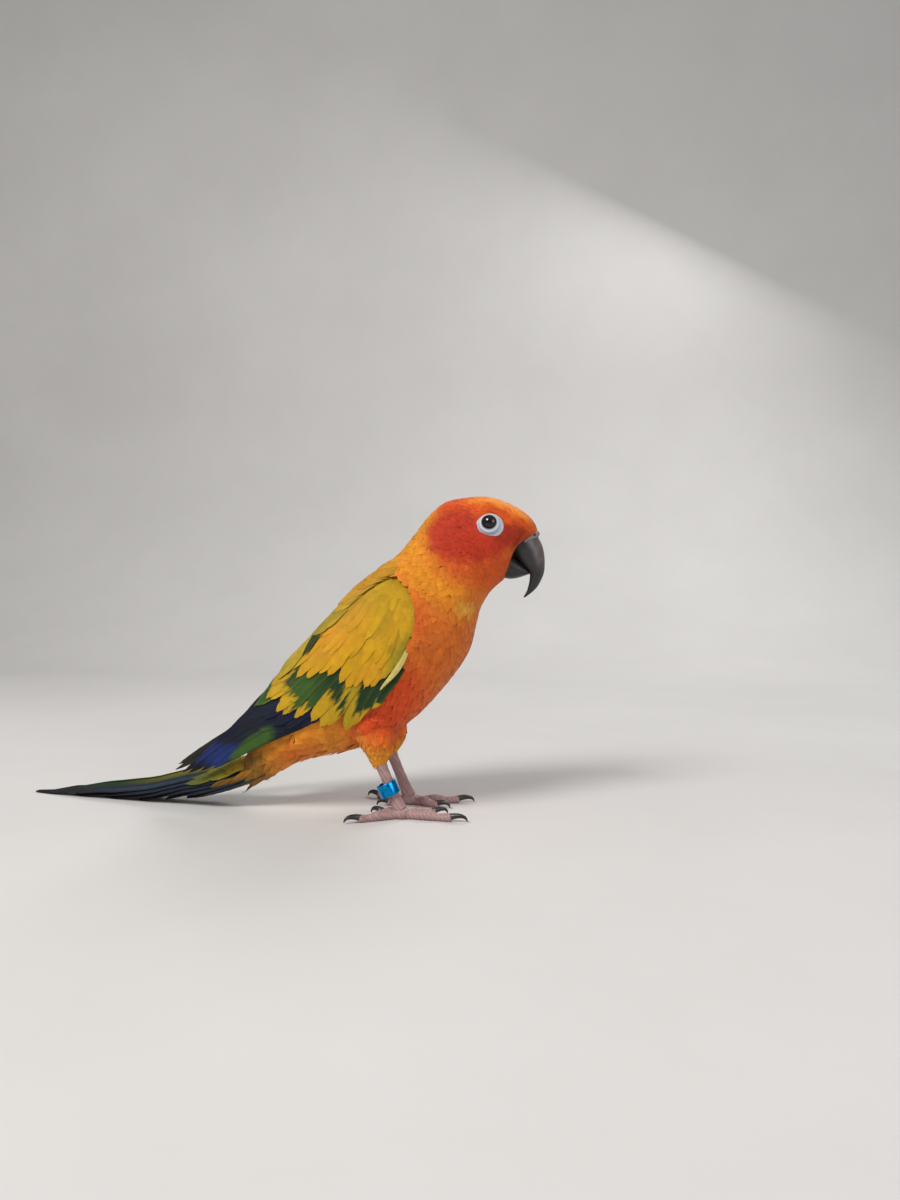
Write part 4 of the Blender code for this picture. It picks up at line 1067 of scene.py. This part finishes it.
def makeEye(name, side, material):
    # a ball: radius times the sine of the angle from its pole, round it, and times the cosine outwards
    middle = middleOf(name)
    angle, around = np.broadcast_arrays(np.linspace(0, np.pi, 40)[1:-1, None], ringTurns(64)[None])
    radius, pupil = eyeLook["radius"], eyeLook["pupil"]
    rings = middle + np.stack([
        radius * np.sin(angle) * np.cos(around),
        side * (eyeLook["forward"] + radius * np.cos(angle)),
        radius * np.sin(angle) * np.sin(around)], -1)
    # a near-black pupil, a dark brown iris and a dark rim, by the angle from the pole
    colour = blend(linear((6, 5, 6)), linear((44, 26, 20)), fade(angle, pupil - 0.03, pupil + 0.03))
    colour = blend(colour, linear((10, 8, 8)), fade(angle, 0.72, 0.84))
    piece = tubeMesh(name + "Ball", rings, material, colour)
    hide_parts(name)


def lidColour(share, angle):
    # a dark line next to the eye, a white rim, then blue grey, strongest on the lower half as painted shade,
    # that pales again towards the outer edge
    # painted shade: the blue grey band is strongest on the ring's lower half, away from the light above
    low = 0.6 - 0.4 * np.sin(angle)
    colour = blend(linear((70, 72, 84)), linear((206, 210, 216)), fade(share, 0.54, 0.6))
    colour = blend(colour, linear((128, 138, 158)), fade(share, 0.64, 0.72) * low)
    colour = blend(colour, linear((182, 188, 198)), fade(share, 0.78, 0.9))
    return blend(colour, linear((120, 84, 86)), fade(share, 0.95, 1.06))


lid = {
    "shares": (0.46, 0.49, 0.52, 0.55, 0.58, 0.62, 0.67, 0.72, 0.77, 0.82, 0.87, 0.92, 0.97, 1.02, 1.1),
    "rim": ((0.46, 0.49, 0.52, 0.56, 0.62, 0.8, 1.0, 1.1), (-0.4, 0.4, 0.85, 1.0, 0.75, 0.05, -0.6, -1.2)),
    "wrinkle": 0.07, "corner": 0.1, "brow": 0.3,
}


def makeLid(name, side, material):
    # ellipses from the eye out to the ring's size, as high as the rim's heights at each share of it, with
    # a sine for the wrinkles, a bell for the eye's corner and more height over the eye
    share = np.array(lid["shares"])
    lift = np.interp(share, *lid["rim"])
    angle = ringTurns(120)[:, None]
    away = 2 * (share - 0.5)
    (ringX, ringZ), (wide, high) = ringPlace["middle"], ringPlace["size"]
    corner = 1 + lid["corner"] * np.exp(-(((angle - 2.9) / 0.3) ** 2)) * np.clip(away, 0, 1)
    x = eyeSpot[0] + (ringX - eyeSpot[0]) * away + wide * share * corner * np.cos(angle)
    z = eyeSpot[1] + (ringZ - eyeSpot[1]) * away + high * share * corner * np.sin(angle)
    wrinkle = lid["wrinkle"] * np.sin(share * 120 + 1.5 * np.sin(angle * 3)) * fade(share, 0.58, 0.68)
    lift = lift + wrinkle + lid["brow"] * np.clip(np.sin(angle), 0, 1) * np.clip(away, 0, 1)
    rings = sideSurface(bodyRows, x, z, lift + 0 * x, side, bodyPower)
    colour = lidColour(share + 0 * angle, angle)
    count, across = rings.shape[:2]
    faces = gridFaces(across, count, True)
    points, colours = rings.transpose(1, 0, 2).reshape(-1, 3), colour.transpose(1, 0, 2).reshape(-1, 3)
    faces = facing(points, faces, [0, side, 0])
    piece = makeMesh(name + "Skin", points, faces, material, colours)
    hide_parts(name)


def bareMaterial(name, roughness, bumpScale, bumpStrength, coatWeight=0.0):
    # the piece's own colours made a little uneven by noise, with bump from the same noise
    made, tree = newMaterial(name)
    plume = node(tree, "ShaderNodeAttribute", attribute_name="plumage")
    place = node(tree, "ShaderNodeTexCoord")
    noise = node(tree, "ShaderNodeTexNoise", {
        "Vector": place.outputs["Object"], "Scale": bumpScale, "Detail": 4.0, "Roughness": 0.6})
    even = node(tree, "ShaderNodeMapRange", {"Value": noise.outputs["Fac"], "To Min": 0.78, "To Max": 1.16})
    tint = node(tree, "ShaderNodeVectorMath", {
        0: plume.outputs["Color"], "Scale": even.outputs["Result"]}, operation="SCALE")
    bump = node(tree, "ShaderNodeBump", {
        "Strength": bumpStrength, "Distance": 0.00015, "Height": noise.outputs["Fac"]})
    fill(tree, tree.nodes["Principled BSDF"], {
        "Roughness": roughness, "Coat Weight": coatWeight, "Coat Roughness": 0.25,
        "Base Color": tint.outputs[0], "Normal": bump.outputs["Normal"]})
    return made


wetEye = eyeMaterial()
lidSkin = bareMaterial("lidSkin", 0.55, 1800.0, 0.3)
for side, sideName in ((-1, "right"), (1, "left")):
    makeEye("eye_" + sideName, side, wetEye)
    makeLid("eyelid_" + sideName, side, lidSkin)
print("eyes set")


# Bill and cere, the bill's halves in the same five sizes as the body

upperBill = np.array([
    (60.6, 129.8, 48.2, 121.9, 7.1), (63.3, 124.7, 50.9, 119.1, 7.0), (64.4, 120.5, 53.2, 116.3, 6.5),
    (64.7, 116.3, 55.6, 113.7, 5.6), (64.4, 112.1, 57.7, 111.6, 4.4), (63.3, 108.8, 57.9, 108.8, 3.2),
    (61.2, 105.1, 57.3, 105.5, 2.0), (58.6, 102.5, 56.5, 103.0, 1.1), (55.5, 100.3, 55.1, 100.6, 0.3),
])
lowerBill = np.array([
    (47.4, 122.4, 43.4, 110.2, 6.6), (51.2, 119.2, 47.6, 108.8, 6.5), (54.4, 116.6, 50.9, 108.8, 5.9),
    (57.0, 114.0, 54.2, 109.6, 4.7), (58.6, 111.9, 57.6, 110.8, 3.0),
])
bill = {"growth": 0.05, "wall": 0.72, "inset": 0.15}


def makeBill(name, rows, nodeName, material, keel):
    # middle + up (half depth + keel) cos + out half width sin, with squarer walls below and growth lines
    at = np.linspace(0, len(rows) - 1, 110)[:, None]
    at, around = np.broadcast_arrays(at, ringTurns(80)[None])
    values = along(rows, at)
    middle, depth, up = crossSection(values)
    cosine, sine = np.cos(around), np.sin(around)
    ridge = keel * np.exp(-((wrapped(around) / 0.35) ** 2))
    grow = bill["growth"] * np.sin(at * 22 + 2 * cosine) * fade(at, 0.3, 1.5) - bill["inset"]
    rise = cosine * (depth + ridge + grow)
    square = np.where((cosine < 0) & (keel > 0), np.abs(sine) ** bill["wall"], np.abs(sine))
    out = np.sign(sine) * square * (np.maximum(values[..., 4], bill["inset"]) + grow)
    rings = onSection(middle, up, rise, out)
    blotch = 0.5 + 0.5 * np.sin(at * 3.1 + 4 * cosine) * np.sin(around * 2.3 + at * 1.7)
    if keel > 0:
        # painted highlight: a pale pinkish grey sheen on top of the upper bill near its base, broken by
        # blotches
        pale = (1 - fade(at, 2.2, 4.6)) * fade(np.maximum(cosine, 0), -0.1, 0.8) * (0.6 + 0.4 * blotch)
    else:
        pale = 0.3 * (1 - fade(at, 0, 2)) * blotch
    colour = blend(linear((24, 23, 27)), linear((112, 98, 98)), pale * 0.9)
    colour = blend(colour, linear((16, 15, 17)), fade(at, 5.5, 7.5) * 0.7)
    piece = tubeMesh(name, rings, material, colour)
    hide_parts(nodeName)


cere = {"top": (61.0, 129.6), "half": 6.3, "back": 5.5, "down": 4.3, "radius": 1.6, "nostril": 0.55}


def makeCere(material):
    # a bar bent along a parabola over the bill's base, its radius swollen and pierced by bells
    turn = np.linspace(-1, 1, 80)[:, None]
    around = ringTurns(40)[None]
    swell = 1 + 0.2 * np.exp(-(((np.abs(turn) - 0.45) / 0.22) ** 2))
    radius = cere["radius"] * (1.05 - 0.5 * turn**2) * swell
    topX, topZ = cere["top"]
    back, down, half = cere["back"], cere["down"], cere["half"]
    middle = np.stack([topX - back * turn**2, half * turn, topZ - down * turn**2], -1)
    tangent = np.stack([-2 * back * turn, half + 0 * turn, -2 * down * turn], -1)
    tangent = tangent / np.linalg.norm(tangent, axis=-1, keepdims=True)
    outward = np.array([0.85, 0, 0.5]) / np.linalg.norm([0.85, 0, 0.5]) + 0 * tangent
    outward = outward - (outward * tangent).sum(-1, keepdims=True) * tangent
    outward = outward / np.linalg.norm(outward, axis=-1, keepdims=True)
    aside = np.cross(tangent, outward)
    hole = np.exp(-(((np.abs(turn) - 0.5) / 0.085) ** 2) - (wrapped(around) / 0.42) ** 2)
    radius = radius * (1 - cere["nostril"] * hole)
    away = outward * np.cos(around)[..., None] + aside * np.sin(around)[..., None]
    rings = middle + radius[..., None] * away
    # painted shade: the nostrils' shallow dents are painted near black, as the dark inside of the openings
    colour = blend(linear((128, 118, 120)), linear((20, 16, 16)), fade(hole, 0.2, 0.7))
    piece = tubeMesh("cereSkin", rings, material, colour)
    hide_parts("cere")


hornSkin = bareMaterial("horn", 0.42, 700.0, 0.25, 0.15)
makeBill("billUpper", upperBill, "bill_upper", hornSkin, 0.5)
makeBill("billLower", lowerBill, "bill_lower", hornSkin, 0.0)
makeCere(lidSkin)
print("bill made")


# Feet, claws and the band

feet = {
    "spread": 14.0, "heel": (-10.0, 14.5, 26.5), "shank": (2.9, 2.5, 2.4, 2.7, 3.3), "sole": (4.4, 4.0, 3.0),
    "toeRadius": 2.1, "clawRadius": 1.4, "floor": 0.02,
}
toes = [("outer_front", -10.0, 25.0, 9.0), ("inner_front", 24.0, 17.0, 8.0),
        ("outer_back", -150.0, 21.0, 8.5), ("inner_back", 155.0, 12.0, 7.0)]


def sweep(path, radii, around, scute=None):
    # a round bar: path + radius (aside cos + over sin), the radius changed by a function of place and turn
    tangent = np.gradient(path, axis=0)
    tangent /= np.linalg.norm(tangent, axis=1)[:, None]
    aside = np.cross(tangent, [0.0, 0.0, 1.0])
    aside /= np.linalg.norm(aside, axis=1)[:, None]
    over = np.cross(aside, tangent)
    place, turn = np.arange(len(path))[:, None], ringTurns(around)[None]
    radius = radii[:, None] * (1 + (scute(place, turn) if scute else 0 * turn))
    away = aside[:, None] * np.cos(turn)[..., None] + over[:, None] * np.sin(turn)[..., None]
    return path[:, None] + radius[..., None] * away


def pebble(place, turn):
    # small round scales: a wave along the shank times a wave round it, as a share of the radius
    return 0.035 * np.sin(place * 0.9 + 2.0 * np.sin(turn * 3)) * np.sin(turn * 6 + place * 0.45)


def scutes(length, count):
    # the relief of a toe of this length, read at count places
    def relief(place, turn):
        # plates 1.5 mm long over the toe, as the root of a sine, and fine waves under it
        plates = 0.07 * np.abs(np.sin(place / (count - 1) * np.pi * length / 1.5)) ** 0.5
        waves = 0.03 * np.sin(turn * 9 + place * 0.8) * np.clip(-np.sin(turn) + 0.4, 0, 1)
        return plates * np.clip(np.sin(turn), 0, 1) + waves - 0.04

    return relief


def makeFoot(side, sideName, skinMaterial, clawMaterial):
    # a bar from the heel to the sole, a dome for the sole, its three sizes by sine and cosine, and for each
    # toe a bar with two pads, 1 + 0.12 cos, and a claw as thin as a power of what is left to its point
    centre = np.array([0.0, side * feet["spread"], 0.0])
    heel = np.array(feet["heel"]) * [1, side, 1]
    pink, grey = linear((176, 138, 134)), linear((104, 92, 92))

    def dress(name, rings, nodeName=None):
        # a scaly piece, flat where it would sink under the floor, pink with grey patches from sines
        rings[..., 2] = np.maximum(rings[..., 2], feet["floor"])
        tone = 0.5 + 0.5 * np.sin(rings[..., 0] * 3.1 + rings[..., 2] * 2.3) * np.sin(rings[..., 1] * 2.7)
        piece = tubeMesh(name, rings, skinMaterial, blend(pink, grey, 0.65 * tone))
        if nodeName:
            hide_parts(nodeName)

    share = np.linspace(0, 1, 90)
    path = heel + (centre + [-0.5, 0, 4.0] - heel) * share[:, None]
    radii = np.interp(share, [0, 0.2, 0.5, 0.8, 1], feet["shank"])
    dress(f"shank{sideName.title()}", sweep(path, radii, 40, pebble), "foot_" + sideName)
    turn, ring = np.broadcast_arrays(np.linspace(0.08, np.pi - 0.08, 24)[:, None], ringTurns(36)[None])
    ahead, out, up = feet["sole"]
    sole = np.stack([ahead * np.sin(turn) * np.cos(ring), out * np.sin(turn) * np.sin(ring),
                     2.4 + up * np.cos(turn)], -1)
    dress(f"sole{sideName.title()}", centre + sole)
    for toeName, degrees, length, clawLength in toes:
        way = math.radians(degrees)
        direction = np.array([math.cos(way), -side * math.sin(way), 0.0])
        steps = np.linspace(0, 1, 110)
        thick = feet["toeRadius"] * (1.12 - 0.3 * steps) * (1 + 0.12 * np.cos(steps * math.pi * 4))
        line = centre + direction * (steps * length)[:, None]
        line[:, 2] = thick * 0.9
        radii = thick * (1 - 0.75 * fade(steps, 0.93, 1.0))
        name = toeName.title().replace("_", "")
        dress(f"toe{sideName.title()}{name}", sweep(line, radii, 36, scutes(length, len(steps))))
        steps = np.linspace(0, 1, 50)
        reach = length - 2.0 + (clawLength + 0.6) * 0.86 * np.sin(steps * np.pi / 2 * 0.95)
        line = centre + direction * reach[:, None]
        radii = feet["clawRadius"] * (1 - steps) ** 0.75 + 0.12
        line[:, 2] = np.maximum(2.1 + 1.5 * np.sin(steps * np.pi * 0.75) - 2.6 * steps**2, radii + 0.03)
        rings = sweep(line, radii, 24)
        worn = 0.4 * (1 - fade(steps, 0, 0.4))[:, None] + 0 * rings[..., 0]
        colour = blend(linear((24, 22, 24)), linear((88, 80, 78)), worn)
        claw = tubeMesh(f"nail{sideName.title()}{name}", rings, clawMaterial, colour)
        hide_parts(f"claw_{sideName}_{toeName}")


footSkin = bareMaterial("scalyFootSkin", 0.6, 1500.0, 0.6)
makeFoot(-1, "right", footSkin, hornSkin)
makeFoot(1, "left", footSkin, hornSkin)

band = {"outer": 4.7, "inner": 4.0, "length": 6.0, "round": 0.3}
bandLook = {"roughness": 0.2, "metallic": 1.0, "gloss": 0.5, "scale": 900.0,
            "dark": (10, 116, 190), "pale": (24, 158, 222), "bump": 0.05}


def makeBand():
    # a profile of straight walls and two quarter circles at each lip, turned round the shank's axis
    middle = middleOf("leg_band")
    heel, ankle = np.array([-10.0, -14.5, 25.5]), np.array([-0.5, -14.0, 4.5])
    axis = (ankle - heel) / np.linalg.norm(ankle - heel)
    aside = np.cross(axis, [0.0, 1.0, 0.0])
    aside /= np.linalg.norm(aside)
    over = np.cross(aside, axis)
    lip = np.linspace(0, np.pi / 2, 6)
    small, far = band["round"], band["length"] / 2 - band["round"]
    outerLip = np.stack([band["outer"] - small + small * np.cos(lip), far + small * np.sin(lip)], 1)
    innerLip = np.stack([band["inner"] + small - small * np.sin(lip), far + small * np.cos(lip)], 1)
    half = np.concatenate([outerLip, innerLip])
    profile = np.concatenate([half, half[::-1] * [1, -1]])
    turn = ringTurns(96)[:, None]
    outward = aside * np.cos(turn) + over * np.sin(turn)
    rings = middle + outward[:, None] * profile[None, :, :1] + axis * profile[None, :, 1:]
    count, across = rings.shape[:2]
    points = rings.reshape(-1, 3)
    faces = gridFaces(count + 1, across, True) % len(points)
    quad = points[faces]
    away = quad.mean(1) - middle
    outer = np.linalg.norm(away, axis=1) > band["outer"] - 0.2
    onWall = outer & (np.abs((quad - middle) @ axis).max(1) < far)
    faces = facing(points, faces, away * onWall[:, None])
    piece = makeMesh("legBandTube", points, faces, noisyMaterial("blueMetal", bandLook), sharp=40)
    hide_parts("leg_band")


makeBand()
print("feet made")


# Floor, lights and camera

floorLook = {"roughness": 0.85, "metallic": 0.0, "gloss": 0.15, "scale": 3.0,
             "dark": (198, 196, 194), "pale": (205, 203, 201), "bump": 0.02}


def makeBackdrop():
    # a floor that curves up into a wall far behind, by a quarter of a circle, in metres
    turn = np.linspace(0, np.pi / 2, 24)
    curve = np.stack([0.7 + 0.5 * np.sin(turn), 0.5 - 0.5 * np.cos(turn)], 1)
    profile = np.concatenate([[(-12.0, 0.0)], curve, [(1.2, 3.0)]])
    number = len(profile)
    points = np.column_stack([np.repeat([-12.0, 12.0], number), np.tile(profile, (2, 1))])
    mesh = bpy.data.meshes.new("studioFloor")
    mesh.from_pydata(points.tolist(), [], gridFaces(2, number)[:, ::-1].tolist())
    mesh.shade_smooth()
    mesh.materials.append(noisyMaterial("paleFloor", floorLook))
    floor = bpy.data.objects.new("studioFloor", mesh)
    scene.collection.objects.link(floor)


def areaLight(name, place, aim, size, power, colour=(1, 1, 1)):
    # a round lamp turned from its place towards its aim
    light = bpy.data.lights.new(name, "AREA")
    light.shape, light.size, light.energy, light.color = "DISK", size, power, colour
    lamp = bpy.data.objects.new(name, light)
    lamp.location = place
    x, y, z = np.array(aim) - np.array(place)
    lamp.rotation_euler = (math.atan2(math.hypot(x, y), -z), 0, math.atan2(y, x) - math.pi / 2)
    scene.collection.objects.link(lamp)


makeBackdrop()
areaLight("keyLight", (-0.55, -0.95, 1.15), (0.0, 0.0, 0.08), 0.6, 21.0, (1.0, 0.98, 0.95))
areaLight("fillLight", (1.1, -0.8, 0.6), (0.0, 0.0, 0.08), 0.9, 5.0, (0.95, 0.97, 1.0))
areaLight("rimLight", (0.5, 0.9, 1.0), (0.0, 0.0, 0.1), 0.6, 7.0)
world = bpy.data.worlds.new("studio")
world.use_nodes = True
background = world.node_tree.nodes["Background"]
fill(world.node_tree, background, {"Color": (0.82, 0.83, 0.85, 1), "Strength": 0.36})
scene.world = world
scene.view_settings.view_transform = "Standard"

lens = {"aim": (21.0, 99.0), "distance": 405.0, "azimuth": math.radians(6), "focal": 26.0}
camera = bpy.data.objects.new("photoCamera", bpy.data.cameras.new("photoCamera"))
camera.data.lens = lens["focal"]
camera.data.sensor_width = 36.0
camera.data.clip_start = 0.01
camera.location = (
    birdX + (lens["aim"][0] + lens["distance"] * math.sin(lens["azimuth"])) * mm,
    -lens["distance"] * math.cos(lens["azimuth"]) * mm, lens["aim"][1] * mm)
camera.rotation_euler = (math.pi / 2, 0, lens["azimuth"])
scene.collection.objects.link(camera)
scene.camera = camera

print("scene ready")
